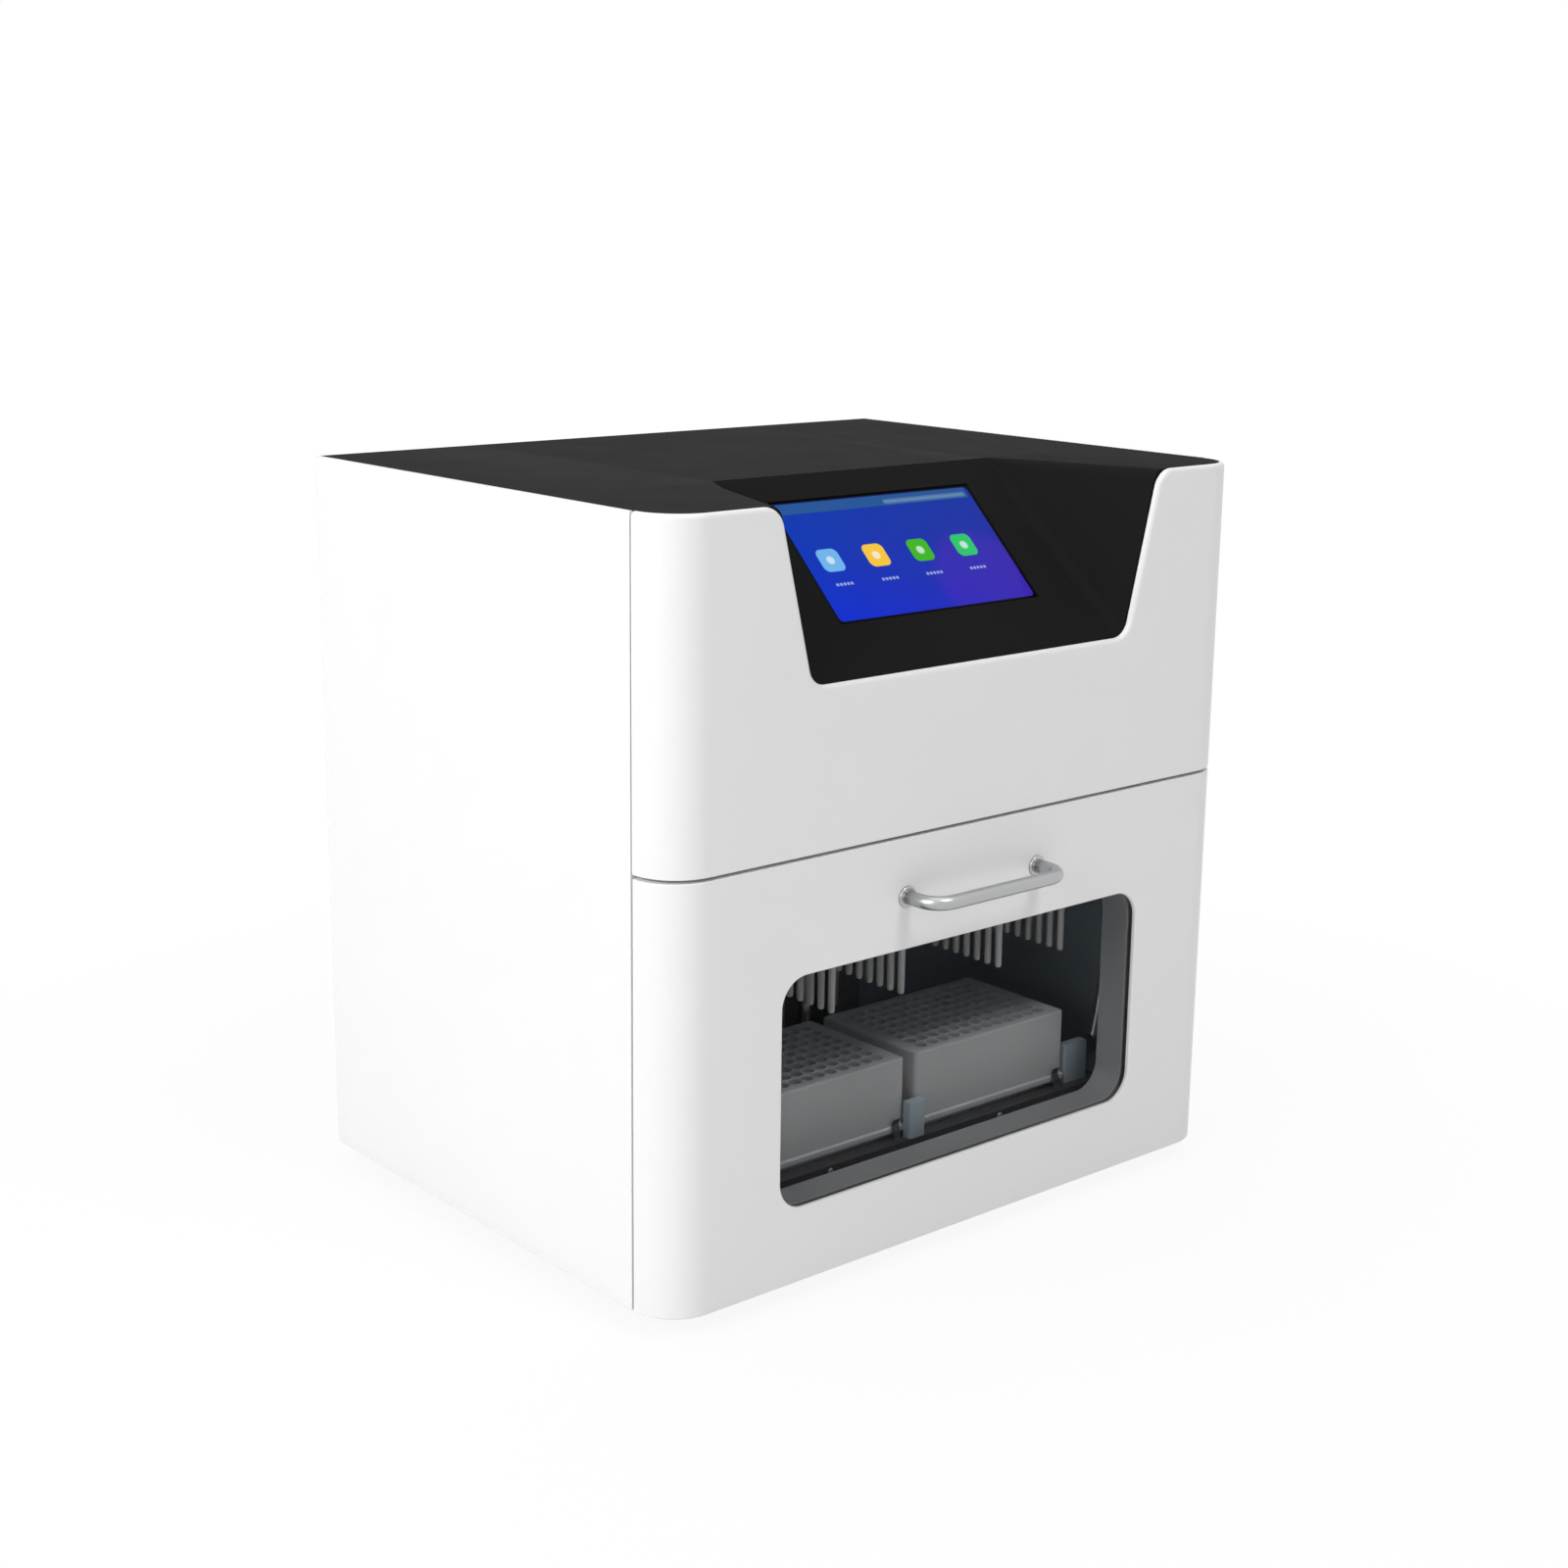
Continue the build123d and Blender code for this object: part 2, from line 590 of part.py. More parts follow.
def plate_clamps():
    """Blocks on the deck: one in front of both plates and one beside each, short of the sleeves and stays."""
    top = DECK_Z + DECK_T
    half = CENTRE_CLAMP_HALF
    centre = block(-half, half, DECK_FRONT, PLATE_FRONT - FIT_GAP, top, top + CENTRE_CLAMP_H)
    outer_x = PLATE_PITCH / 2 + PLATE_W / 2 + FIT_GAP
    outer = block(outer_x, outer_x + CLAMP_W, PLATE_FRONT, PLATE_FRONT + CLAMP_T, top, top + CLAMP_H)
    centre = fillet(centre.edges().filter_by(Axis.Z).group_by(Axis.Y)[0], CLAMP_R)
    outer = fillet(outer.edges().filter_by(Axis.Y).group_by(Axis.Z)[-1], CLAMP_R)
    return centre + both_sides(outer)


def uv_lamp():
    """Ultraviolet tube along the top of the opening, in two holders."""
    y = FRAME_Y + SHEET + 9
    z = OPENING_TOP + 16
    half = 120.0
    tube = bar_x(5.5, -half, half, y, z)
    holder = block(half, half + 10, FRAME_Y + SHEET, y + 6, z - 7, z + 7)
    return tube + both_sides(holder)


def led_light_bar():
    low = OPENING_TOP + 28
    bar = block(-120, 120, FRAME_Y + SHEET, FRAME_Y + SHEET + 6, low, low + 10)
    return chamfer(bar.edges().filter_by(Axis.X).group_by(Axis.Y)[-1], 2.0)


def stay_brackets():
    y, z = STAY_LOW
    stud = bar_x(STAY_STUD_R, STAY_X - STAY_EYE_W / 2, CHAMBER_HALF, y, z)
    inner = CHAMBER_HALF - STAY_PAD_T
    pad = block(inner, CHAMBER_HALF, y - STAY_PAD, y + STAY_PAD, z - STAY_PAD, z + STAY_PAD)
    pad = chamfer(pad.edges().filter_by(Axis.X), STAY_STUD_R)
    return both_sides(stud + pad)


def hinge_brackets():
    """Arms on the front frame that carry the door's hinge pins."""
    arm_half = HINGE_ARM_W / 2
    pad_half = HINGE_PAD_HALF
    pad = block(HINGE_X - pad_half, HINGE_X + pad_half, PANEL_FRONT, FRAME_Y, SHEET, SHEET + KNUCKLE_W)
    low = HINGE_Z - KNUCKLE_W / 2
    arm = block(HINGE_X - arm_half, HINGE_X + arm_half, HINGE_Y, PANEL_FRONT, low, low + KNUCKLE_W)
    knuckle = bar_x(KNUCKLE_R, HINGE_X - arm_half, HINGE_X + arm_half, HINGE_Y, HINGE_Z)
    bore = bar_x(PIN_R + RUN_GAP, HINGE_X - arm_half, HINGE_X + arm_half, HINGE_Y, HINGE_Z)
    return both_sides(pad + arm + knuckle - bore)


def catch_block(y0, y1):
    half = CATCH_W / 2
    return both_sides(block(CATCH_X - half, CATCH_X + half, y0, y1, CATCH_Z - half, CATCH_Z + half))


def catch_magnets():
    return catch_block(LINER_Y + LINER_T + CATCH_T + CATCH_GAP, FRAME_Y)


def power_supply():
    left = SUPPLY_INSET - INNER_HALF
    front = CHAMBER_BACK + SUPPLY_INSET / 2
    back = REAR_Y - SUPPLY_INSET
    box = block(left, left + SUPPLY_W, front, back, SHEET, SUPPLY_TOP)
    slots = Part()
    pitch = SUPPLY_W / (SUPPLY_SLOTS + 1)
    for step in range(SUPPLY_SLOTS):
        x = left + (step + 0.75) * pitch
        slots += block(x, x + pitch / 2, front + pitch, back - pitch, SUPPLY_TOP - SHEET, SUPPLY_TOP)
    return box - slots


def control_board():
    """Circuit board on four pillars, with three chips and a row of connectors along its rear edge."""
    low = SHEET + STANDOFF
    top = low + BOARD_T
    left = SUPPLY_INSET - INNER_HALF + SUPPLY_W + STANDOFF + VENT_HALF
    right = left + BOARD_W
    front = CHAMBER_BACK + SUPPLY_INSET
    back = REAR_Y - SUPPLY_INSET
    board = block(left, right, front, back, low, top)
    for x in (left + STANDOFF, right - STANDOFF):
        for y in (front + STANDOFF, back - STANDOFF):
            board += post(STANDOFF, SHEET, low, x, y)
    for part, side in ((1, 14.0), (2, 18.0), (3, 12.0)):
        x = left + BOARD_W * part / 4
        y = (front + back) / 2
        board += block(x - side / 2, x + side / 2, y - side / 2, y + side / 2, top, top + PORT_RIM)
    return board + block(left + SUPPLY_W / 2, right - STANDOFF, back - STANDOFF, back, top, top + STANDOFF)


def fan_frame():
    half = FAN / 2
    low = REAR_Y - FAN_T
    body = block(FAN_X - half, FAN_X + half, low, REAR_Y, FAN_Z - half, FAN_Z + half)
    body = chamfer(body.edges().filter_by(Axis.Y), FAN_SPOKE)
    body -= bar_y(FAN_BORE_R, low, REAR_Y, FAN_X, FAN_Z)
    spoke = FAN_SPOKE / 2
    reach = FAN_BORE_R + 1
    spokes = block(-reach, reach, 0, FAN_WEB_T, -spoke, spoke)
    spokes += block(-spoke, spoke, 0, FAN_WEB_T, -reach, reach)
    hub = bar_y(FAN_HUB_R, 0, FAN_WEB_T, 0, 0)
    shaft = bar_y(PIN_R, 0, FAN_T - FAN_SPOKE, 0, 0)
    return body + Pos(FAN_X, low, FAN_Z) * (spokes + hub + shaft)


def fan_rotor():
    """Hub with pitched blades, turning on the frame's shaft."""
    low = REAR_Y - FAN_T + FAN_WEB_T + ROCKER_GAP
    deep = REAR_Y - SHEET - low
    tip = FAN_BORE_R - 1.5
    span = tip - FAN_HUB_R
    rotor = bar_y(FAN_HUB_R, 0, deep, 0, 0)
    blade = Rot(0, 0, BLADE_PITCH) * Box(BLADE_CHORD, BLADE_T, span + FAN_SPOKE)
    blade = Pos(0, deep / 2, FAN_HUB_R + span / 2) * blade
    for step in range(BLADES):
        rotor += Rot(0, step * 360 / BLADES, 0) * blade
    ring = bar_y(tip, 0, deep, 0, 0)
    bore = bar_y(PIN_R + RUN_GAP, 0, FAN_T - FAN_SPOKE - FAN_WEB_T - ROCKER_GAP + RUN_GAP, 0, 0)
    return Pos(FAN_X, low, FAN_Z) * ((rotor & ring) - bore)


def shrunk(size, wall):
    return size[0] - 2 * wall, size[1] - 2 * wall


def power_inlet():
    """Inlet module: one flange over the mains socket and the well of the power switch."""
    left = INLET_X - INLET_CUT[0] / 2 - PORT_RIM
    right = SWITCH_X + SWITCH_CUT[0] / 2 + PORT_RIM
    half = INLET_CUT[1] / 2 + PORT_RIM
    face = BODY_D + PORT_FLANGE
    flange = block(left, right, BODY_D, face, PORT_Z - half, PORT_Z + half)
    flange = fillet(flange.edges().filter_by(Axis.Y), PORT_RIM)
    bodies = port_block(INLET_X, INLET_CUT, BODY_D - INLET_DEPTH, BODY_D)
    bodies += port_block(SWITCH_X, SWITCH_CUT, BODY_D - SWITCH_DEPTH, BODY_D)
    well = port_block(SWITCH_X, shrunk(SWITCH_CUT, SWITCH_WALL), BODY_D - WELL_FLOOR, face)
    floor_y = BODY_D - SOCKET_DEPTH
    socket = port_block(INLET_X, shrunk(INLET_CUT, INLET_WALL), floor_y, face)
    socket = chamfer(socket.edges().filter_by(Axis.Y).group_by(Axis.Z)[-1], SOCKET_CUT)
    inlet = flange + bodies - socket - well
    for x, z in ((-7, -2), (7, -2), (0, 2)):
        pin_x = INLET_X + x
        pin_z = PORT_Z + z
        inlet += block(pin_x - 1, pin_x + 1, floor_y, BODY_D - SOCKET_CUT, pin_z - 2, pin_z + 2)
    return inlet


def power_rocker():
    """Rocker cap, shown tipped to off: two faces meeting at its middle, on an axle across the frame."""
    half_z = SWITCH_CUT[1] / 2 - SWITCH_WALL - ROCKER_GAP
    half_x = SWITCH_CUT[0] / 2 - SWITCH_WALL - FIT_GAP
    back = -SHELL
    crest = 4.2
    dip = 3.2
    upper = [(back, half_z - 1), (crest, half_z), (dip, 0)]
    outline = Polyline(*upper, (crest, -half_z), (back, 1 - half_z), close=True)
    cap = extrude(Plane.YZ * make_face(outline), half_x, both=True)
    return Pos(SWITCH_X, ROCKER_AXIS_Y, PORT_Z) * Rot(-ROCKER_TILT, 0, 0) * cap


def usb_port():
    """Two stacked data sockets, each a slot with a tongue."""
    body = port_block(USB_X, USB_CUT, BODY_D - USB_DEPTH, BODY_D)
    shell = body + port_block(USB_X, shrunk(USB_CUT, -1), BODY_D, BODY_D + 1)
    for step in (-1, 1):
        z = PORT_Z + step * USB_PITCH / 2
        shell -= usb_block(USB_SLOT, z, BODY_D + 1)
        shell += usb_block(USB_TONGUE, z + 1, BODY_D - 1)
    return shell


def usb_block(size, z, y1):
    half_x = size[0] / 2
    half_z = size[1] / 2
    return block(USB_X - half_x, USB_X + half_x, BODY_D - USB_MOUTH, y1, z - half_z, z + half_z)


def rubber_feet():
    feet = Part()
    for x in (-FOOT_X, FOOT_X):
        for y in (FOOT_FRONT_Y, FOOT_REAR_Y):
            feet += Pos(x, y, -FOOT_H / 2) * Cone(FOOT_R - 2, FOOT_R, FOOT_H)
    return feet


# ---- door ----
def hinge_pocket():
    half = HINGE_ARM_W / 2 + KNUCKLE_W + 1
    return both_sides(block(HINGE_X - half, HINGE_X + half, SHELL, SHELL_BACK, 0, DOOR_FLANGE))


def door_shell():
    """Outer skin of the drop-down door: round front corners, window and turned-in top and bottom."""
    shell = tall(front_plan(0), 0, DOOR_H) - tall(front_plan(SHELL), DOOR_FLANGE, DOOR_H - DOOR_FLANGE)
    shell -= window_block(0, -SHELL, 2 * SHELL)
    return shell - hinge_pocket()


def door_liner():
    plan = front_plan(SHELL)
    back = tall(plan, LINER_LOW_Z, DOOR_H - DOOR_FLANGE) & block(-HALF, HALF, LINER_Y, LINER_Y + LINER_T, 0, DOOR_H)
    tunnel = window_block(TUNNEL_WALL, PANE_Y, LINER_Y)
    return back + tunnel - window_block(0, PANE_Y, LINER_Y + LINER_T)


def window_pane():
    return window_block(PANE_LAP, SHELL, PANE_Y)


def door_handle():
    """Bar handle bent from round stainless rod, with a collar at each foot."""
    middle_y = HANDLE_R - HANDLE_OUT
    path = FilletPolyline((-HANDLE_HALF, 0), (-HANDLE_HALF, middle_y), (HANDLE_HALF, middle_y), (HANDLE_HALF, 0),
                          radius=HANDLE_BEND)
    section = Plane(origin=(-HANDLE_HALF, 0, 0), x_dir=(1, 0, 0), z_dir=(0, -1, 0)) * Circle(HANDLE_R)
    bar = Pos(0, 0, HANDLE_Z) * sweep(section, path)
    for x in (-HANDLE_HALF, HANDLE_HALF):
        bar += bar_y(HANDLE_R + HANDLE_COLLAR, -HANDLE_COLLAR_T, 0, x, HANDLE_Z)
    return bar


def hinge_knuckles():
    """Knuckles on the inside of the door, on both sides of each arm, with their pins."""
    start = HINGE_X + HINGE_ARM_W / 2 + FIT_GAP
    outer = hinge_knuckle(start, start + KNUCKLE_W)
    inner_start = HINGE_X - HINGE_ARM_W / 2 - FIT_GAP
    inner = hinge_knuckle(inner_start - KNUCKLE_W, inner_start)
    return both_sides(outer + inner + hinge_pin())


def hinge_knuckle(x0, x1):
    barrel = bar_x(KNUCKLE_R, x0, x1, HINGE_Y, HINGE_Z)
    web = block(x0, x1, SHELL, HINGE_Y, HINGE_Z - KNUCKLE_R / 2, HINGE_Z + KNUCKLE_R)
    return barrel + web


def hinge_pin():
    """The pin that is pressed into both knuckles and turns in the arm."""
    reach = HINGE_ARM_W / 2 + FIT_GAP + KNUCKLE_W
    return bar_x(PIN_R, HINGE_X - reach, HINGE_X + reach, HINGE_Y, HINGE_Z)


def catch_plates():
    back = LINER_Y + LINER_T
    return catch_block(back, back + CATCH_T)


def stay_studs():
    """Brackets on the door liner, each with a stud that stops just short of the stay's eye."""
    y, z = STAY_HIGH
    start = STAY_X + STAY_EYE_W / 2
    inner = start + STAY_STUD_R
    half = 2 * STAY_STUD_R
    foot = block(inner, inner + STAY_FOOT_T, LINER_Y + LINER_T, y + STAY_STUD_R + 1, z - half, z + half)
    foot = fillet(foot.edges().filter_by(Axis.X).group_by(Axis.Y)[-1], STAY_STUD_R)
    return both_sides(foot + bar_x(STAY_STUD_R, start + STAY_STUD_GAP, inner, y, z))


def along_stay(radius, start, end):
    """A cylinder on the closed stay's line, from start to end above the low pivot."""
    y0, z0 = STAY_LOW
    y1, z1 = STAY_HIGH
    tilt = math.degrees(math.atan2(y0 - y1, z1 - z0))
    return Pos(STAY_X, y0, z0) * Rot(tilt, 0, 0) * Pos(0, 0, (start + end) / 2) * Cylinder(radius, end - start)


def stay_length():
    return math.dist(STAY_LOW, STAY_HIGH)


def stay_tube():
    y, z = STAY_LOW
    half = STAY_EYE_W / 2
    eye = bar_x(STAY_LOW_EYE_R, STAY_X - half, STAY_X + half, y, z)
    hole = bar_x(STAY_STUD_R + RUN_GAP, STAY_X - half, STAY_X + half, y, z)
    collar = along_stay(STAY_TUBE_R + STAY_COLLAR, STAY_TUBE_L - STAY_COLLAR_L, STAY_TUBE_L)
    bore = along_stay(STAY_ROD_R + RUN_GAP, STAY_ROD_TAIL - STAY_ROD_R, STAY_TUBE_L + 1)
    return eye + along_stay(STAY_TUBE_R, 0, STAY_TUBE_L) + collar - hole - bore


def stay_rod():
    y, z = STAY_HIGH
    half = STAY_EYE_W / 2
    rod = along_stay(STAY_ROD_R, STAY_ROD_TAIL, stay_length())
    eye = bar_x(STAY_EYE_R, STAY_X - half, STAY_X + half, y, z)
    return rod + eye - bar_x(STAY_ROD_R, STAY_X - half, STAY_X + half, y, z)


# ---- head carriage ----
def carriage_plate():
    back = CARRIAGE_Y + CARRIAGE_T
    plate = block(-CARRIAGE_HALF, CARRIAGE_HALF, CARRIAGE_Y, back, CARRIAGE_LOW, CARRIAGE_TOP)
    plate = fillet(plate.edges().filter_by(Axis.Y), 5.0)
    front = PLATE_FRONT + PLATE_D + SLEEVE_END
    low = block(-TONGUE_HALF, TONGUE_HALF, front, CARRIAGE_Y, CARRIAGE_LOW, CARRIAGE_LOW + BRACKET_T)
    top_front = SHAFT_Y - TOP_BRACKET_REACH
    top = block(-TONGUE_HALF, TONGUE_HALF, top_front, back, CARRIAGE_TOP - BRACKET_T, CARRIAGE_TOP)
    return plate + low + top + drive_nut()


def guide_shafts():
    low = CARRIAGE_LOW + BRACKET_T
    return both_sides(bar_z(SHAFT_R, low, CARRIAGE_TOP - BRACKET_T, SHAFT_X, SHAFT_Y))


def carriage_bearings():
    """Four bearing blocks that wrap the rails."""
    blocks = Part()
    back = CARRIAGE_Y + CARRIAGE_T
    half = RAIL_H / 2
    for z in (RAIL_LOW_Z, RAIL_HIGH_Z):
        for x in (-BEARING_X, BEARING_X):
            left = x - BEARING_W / 2
            right = x + BEARING_W / 2
            outer = half + BEARING_WALL
            inner = half + RUN_GAP
            bearing = block(left, right, back, CHAMBER_BACK - BEARING_GAP, z - outer, z + outer)
            bearing = chamfer(bearing.edges().filter_by(Axis.X).group_by(Axis.Y)[-1], BEARING_GAP)
            channel = block(left, right, CHAMBER_BACK - RAIL_D - RUN_GAP, CHAMBER_BACK, z - inner, z + inner)
            blocks += bearing - channel
    return blocks


def drive_nut():
    """Threaded block on the back of the carriage plate."""
    back = CARRIAGE_Y + CARRIAGE_T
    half = DRIVE_NUT_W / 2
    half_h = DRIVE_NUT_H / 2
    nut = block(-half, half, back, DRIVE_Y + DRIVE_BEARING / 2, DRIVE_Z - half_h, DRIVE_Z + half_h)
    return nut - bar_x(SCREW_R + RUN_GAP, -half, half, DRIVE_Y, DRIVE_Z)


def lift_motor():
    return Pos(0, SHAFT_Y, CARRIAGE_TOP) * stepper(LIFT_MOTOR, LIFT_MOTOR_L)


def drive_lead_screw():
    end = DRIVE_RIGHT + DRIVE_PLATE_T - SCREW_END
    return bar_x(SCREW_R, DRIVE_LEFT - DRIVE_PLATE_T, end, DRIVE_Y, DRIVE_Z)


def lift_lead_screw():
    low = CARRIAGE_LOW + BRACKET_T + SCREW_END
    return bar_z(SCREW_R, low, CARRIAGE_TOP - BRACKET_T - SCREW_END, 0, SHAFT_Y)


# ---- sleeve head ----
def rack(z):
    """Comb or magnet rack: a plate over the plates, with a tongue back to the guide shafts."""
    plate = block(HEAD_X - RACK_HALF, HEAD_X + RACK_HALF, RACK_FRONT, RACK_BACK, z, z + RACK_T)
    plate = fillet(plate.edges().filter_by(Axis.Z), 4.0)
    tongue = block(-TONGUE_HALF, TONGUE_HALF, RACK_BACK - SHEET, TONGUE_BACK, z, z + RACK_T)
    whole = plate + tongue
    for x in (-SHAFT_X, SHAFT_X):
        whole -= post(BUSH, z, z + RACK_T, x, SHAFT_Y)
    return whole - bar_z(MAGNET_SCREW_R + RUN_GAP, z, z + RACK_T, HEAD_X, PLATE_MID_Y)


def sleeve_rack():
    z = SLEEVE_RACK_Z
    whole = rack(z) - post(NUT, z, z + RACK_T, 0, SHAFT_Y)
    slot_half = (ROWS - 1) / 2 * WELL_PITCH + SLOT_HALF
    front = PLATE_MID_Y - slot_half
    back = PLATE_MID_Y + slot_half
    for x in COMB_X:
        whole -= block(x - SLOT_HALF, x + SLOT_HALF, front, back, z, z + RACK_T)
    return whole


def bushing(x, y, low, side, bore):
    return post(side, low, low + BUSH_H, x, y) - bar_z(bore + RUN_GAP, low, low + BUSH_H, x, y)


def sleeve_bushings():
    low = SLEEVE_RACK_Z + RACK_T - BUSH_H
    pair = both_sides(bushing(SHAFT_X, SHAFT_Y, low, BUSH, SHAFT_R))
    return pair + bushing(0, SHAFT_Y, low, NUT, SCREW_R)


def tip_combs():
    """Four plastic combs, each a strip with eight closed sleeves hanging from it."""
    combs = Part()
    top = SLEEVE_RACK_Z
    for x in COMB_X:
        strip = block(x - COMB_W / 2, x + COMB_W / 2, PLATE_MID_Y - COMB_L / 2, PLATE_MID_Y + COMB_L / 2,
                      top - COMB_T, top)
        for y in ROW_Y:
            strip += prism(SLEEVE_R, SLEEVE_SIDES, SLEEVE_LOW, top - COMB_T, x, y)
        for y in ROW_Y:
            strip -= prism(SLEEVE_BORE_R, SLEEVE_SIDES, SLEEVE_LOW + SLEEVE_END, top, x, y)
        combs += strip
    return combs


def magnet_motor():
    return Pos(HEAD_X, PLATE_MID_Y, SLEEVE_RACK_Z - MAGNET_MOTOR_L) * stepper(MOTOR, MAGNET_MOTOR_L)


def magnet_lead_screw():
    top = MAGNET_RACK_Z + MAGNET_SCREW_TOP
    return bar_z(MAGNET_SCREW_R, SLEEVE_RACK_Z + SCREW_END, top, HEAD_X, PLATE_MID_Y)


# ---- magnet head ----
def magnet_rack():
    z = MAGNET_RACK_Z
    return rack(z) - post(2 * SCREW_R + RACK_T, z, z + RACK_T, 0, SHAFT_Y)


def magnet_bushings():
    return both_sides(bushing(SHAFT_X, SHAFT_Y, MAGNET_RACK_Z, BUSH, SHAFT_R))


def magnet_rods():
    rods = Part()
    for x in COMB_X:
        for y in ROW_Y:
            rods += prism(MAGNET_R, MAGNET_SIDES, MAGNET_TIP, MAGNET_RACK_Z, x, y)
    return rods


def main():
    right_panel = side_panel()
    right_plate = deep_well_plate()
    right_tube = stay_tube()
    right_rod = stay_rod()
    pairs = {
        "side_panel": right_panel,
        "deep_well_plate": right_plate,
        "stay_tube": right_tube,
        "stay_rod": right_rod,
    }
    for name, piece in pairs.items():
        save(f"{name}_right", piece)
        save(f"{name}_left", mirror(piece, about=Plane.YZ))
    singles = [
        base_tray, rear_panel, top_lid, upper_front_shell, display_module, touchscreen_glass, front_frame,
        door_gasket, chamber_tub, chamber_back_panel, head_rails, drive_supports, drive_motor, deck_plate,
        heater_blocks, plate_clamps, uv_lamp, led_light_bar, stay_brackets, hinge_brackets, catch_magnets, power_supply,
        control_board, fan_frame, fan_rotor, power_inlet, power_rocker, usb_port, rubber_feet,
        door_shell, door_liner, window_pane, door_handle, hinge_knuckles,
        catch_plates, stay_studs, carriage_plate, guide_shafts, carriage_bearings,
        lift_motor, drive_lead_screw, lift_lead_screw, sleeve_rack, sleeve_bushings, tip_combs, magnet_motor,
        magnet_lead_screw, magnet_rack, magnet_bushings, magnet_rods,
    ]
    for function in singles:
        save(function.__name__, function())


main()
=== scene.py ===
# %% [markdown]
# # A bench-top nucleic acid extractor
# A white steel and plastic housing about 430 mm wide, with a dark lid that folds down into a slanted screen
# recess, and a drop-down door with a smoked window. This lesson dresses the instrument's solids: smooth
# skins are worked out with numpy, and every finish is built from nodes.

# %% Load the instrument's frame
import json

import bmesh
import bpy
import numpy as np
from mathutils import Matrix, Vector


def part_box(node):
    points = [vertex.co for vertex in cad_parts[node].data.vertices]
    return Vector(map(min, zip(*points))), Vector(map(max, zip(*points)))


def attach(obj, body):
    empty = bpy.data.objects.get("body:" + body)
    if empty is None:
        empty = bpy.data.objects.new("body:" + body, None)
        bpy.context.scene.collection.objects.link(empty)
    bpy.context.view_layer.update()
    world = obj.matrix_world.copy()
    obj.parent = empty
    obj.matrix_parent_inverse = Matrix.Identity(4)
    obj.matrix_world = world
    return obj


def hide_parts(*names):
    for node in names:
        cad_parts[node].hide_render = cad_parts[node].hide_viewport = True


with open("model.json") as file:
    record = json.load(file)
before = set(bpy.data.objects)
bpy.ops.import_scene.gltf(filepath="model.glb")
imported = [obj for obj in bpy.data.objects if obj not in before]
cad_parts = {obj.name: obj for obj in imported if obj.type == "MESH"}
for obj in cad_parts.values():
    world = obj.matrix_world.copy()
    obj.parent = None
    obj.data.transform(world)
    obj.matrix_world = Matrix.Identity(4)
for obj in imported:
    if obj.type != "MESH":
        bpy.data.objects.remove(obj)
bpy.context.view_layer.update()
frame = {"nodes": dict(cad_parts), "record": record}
nodes = frame["nodes"]
MM = 0.001

# %% [markdown]
# ## Where things are
# Every length below is in millimetres and is read from the solids where it can be: the door's box gives the
# width, the front and the depth of the front shells, and the side panel's box gives the height.

# %% Driving sizes read from the frame
def box_mm(name):
    """A solid's lowest and highest corners, in millimetres."""
    low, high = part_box(name)
    return np.array(low) / MM, np.array(high) / MM


door_low, door_high = box_mm("door_shell")
HALF = door_high[0]
FRONT = door_low[1]
DEPTH = door_high[1] - FRONT
BOTTOM = door_low[2]
TOP = box_mm("side_panel_right")[1][2]
DOOR_TOP = door_high[2] - BOTTOM
UPPER_LOW = box_mm("upper_front_shell")[0][2] - BOTTOM
FULL_H = TOP - BOTTOM
LID_BACK = box_mm("top_lid")[1][1] - FRONT
SHELL = 3.0
CORNER_R = 27.0
print("half width", HALF, "front", FRONT, "bottom", BOTTOM, "top", TOP)

# %% [markdown]
# ## The camera
# The lens is a little longer than a normal one, held above the instrument's left front corner. Its axes are
# built from three turns: around the upright, down, and a slight roll.

# %% Place the camera
FOCAL_PIXELS = 2468.2
FRAME_PIXELS = 1600
SENSOR = 36.0
YAW, PITCH, ROLL = 0.7100, 0.2411, 0.0123
CAMERA_AT = np.array((-921.2, -909.9 + FRONT, 575.2 + BOTTOM))


def camera_axes(yaw, pitch, roll):
    """Right, up and forward: forward leans down by pitch, and right and up then turn about it by roll."""
    forward = np.array((np.sin(yaw) * np.cos(pitch), np.cos(yaw) * np.cos(pitch), -np.sin(pitch)))
    right = np.cross(forward, (0, 0, 1))
    right /= np.linalg.norm(right)
    up = np.cross(right, forward)
    turned_right = np.cos(roll) * right + np.sin(roll) * up
    turned_up = np.cos(roll) * up - np.sin(roll) * right
    return turned_right, turned_up, forward


right, up, forward = camera_axes(YAW, PITCH, ROLL)
camera_data = bpy.data.cameras.new("camera")
camera_data.sensor_width = SENSOR
camera_data.lens = FOCAL_PIXELS / FRAME_PIXELS * SENSOR
camera_data.clip_start = 0.01
camera = bpy.data.objects.new("camera", camera_data)
bpy.context.scene.collection.objects.link(camera)
turn = Matrix((right, up, -forward)).transposed().to_4x4()
camera.matrix_world = Matrix.Translation(Vector(CAMERA_AT * MM)) @ turn
bpy.context.scene.camera = camera
print("lens", round(camera_data.lens, 2), "mm")

# %% [markdown]
# ## Colours and nodes
# One function turns a hex colour into linear light, one adds a shader node with its links, and one empties
# a node tree. Every finish is said with these three.

# %% Colour and node helpers
def hex_colour(text):
    """Linear colour of an sRGB hex value: a channel c over 0.04045 is ((c + 0.055) / 1.055) ** 2.4."""
    channels = np.array([int(text[i:i + 2], 16) for i in (1, 3, 5)]) / 255
    linear = np.where(channels <= 0.04045, channels / 12.92, ((channels + 0.055) / 1.055) ** 2.4)
    return (*linear.tolist(), 1.0)


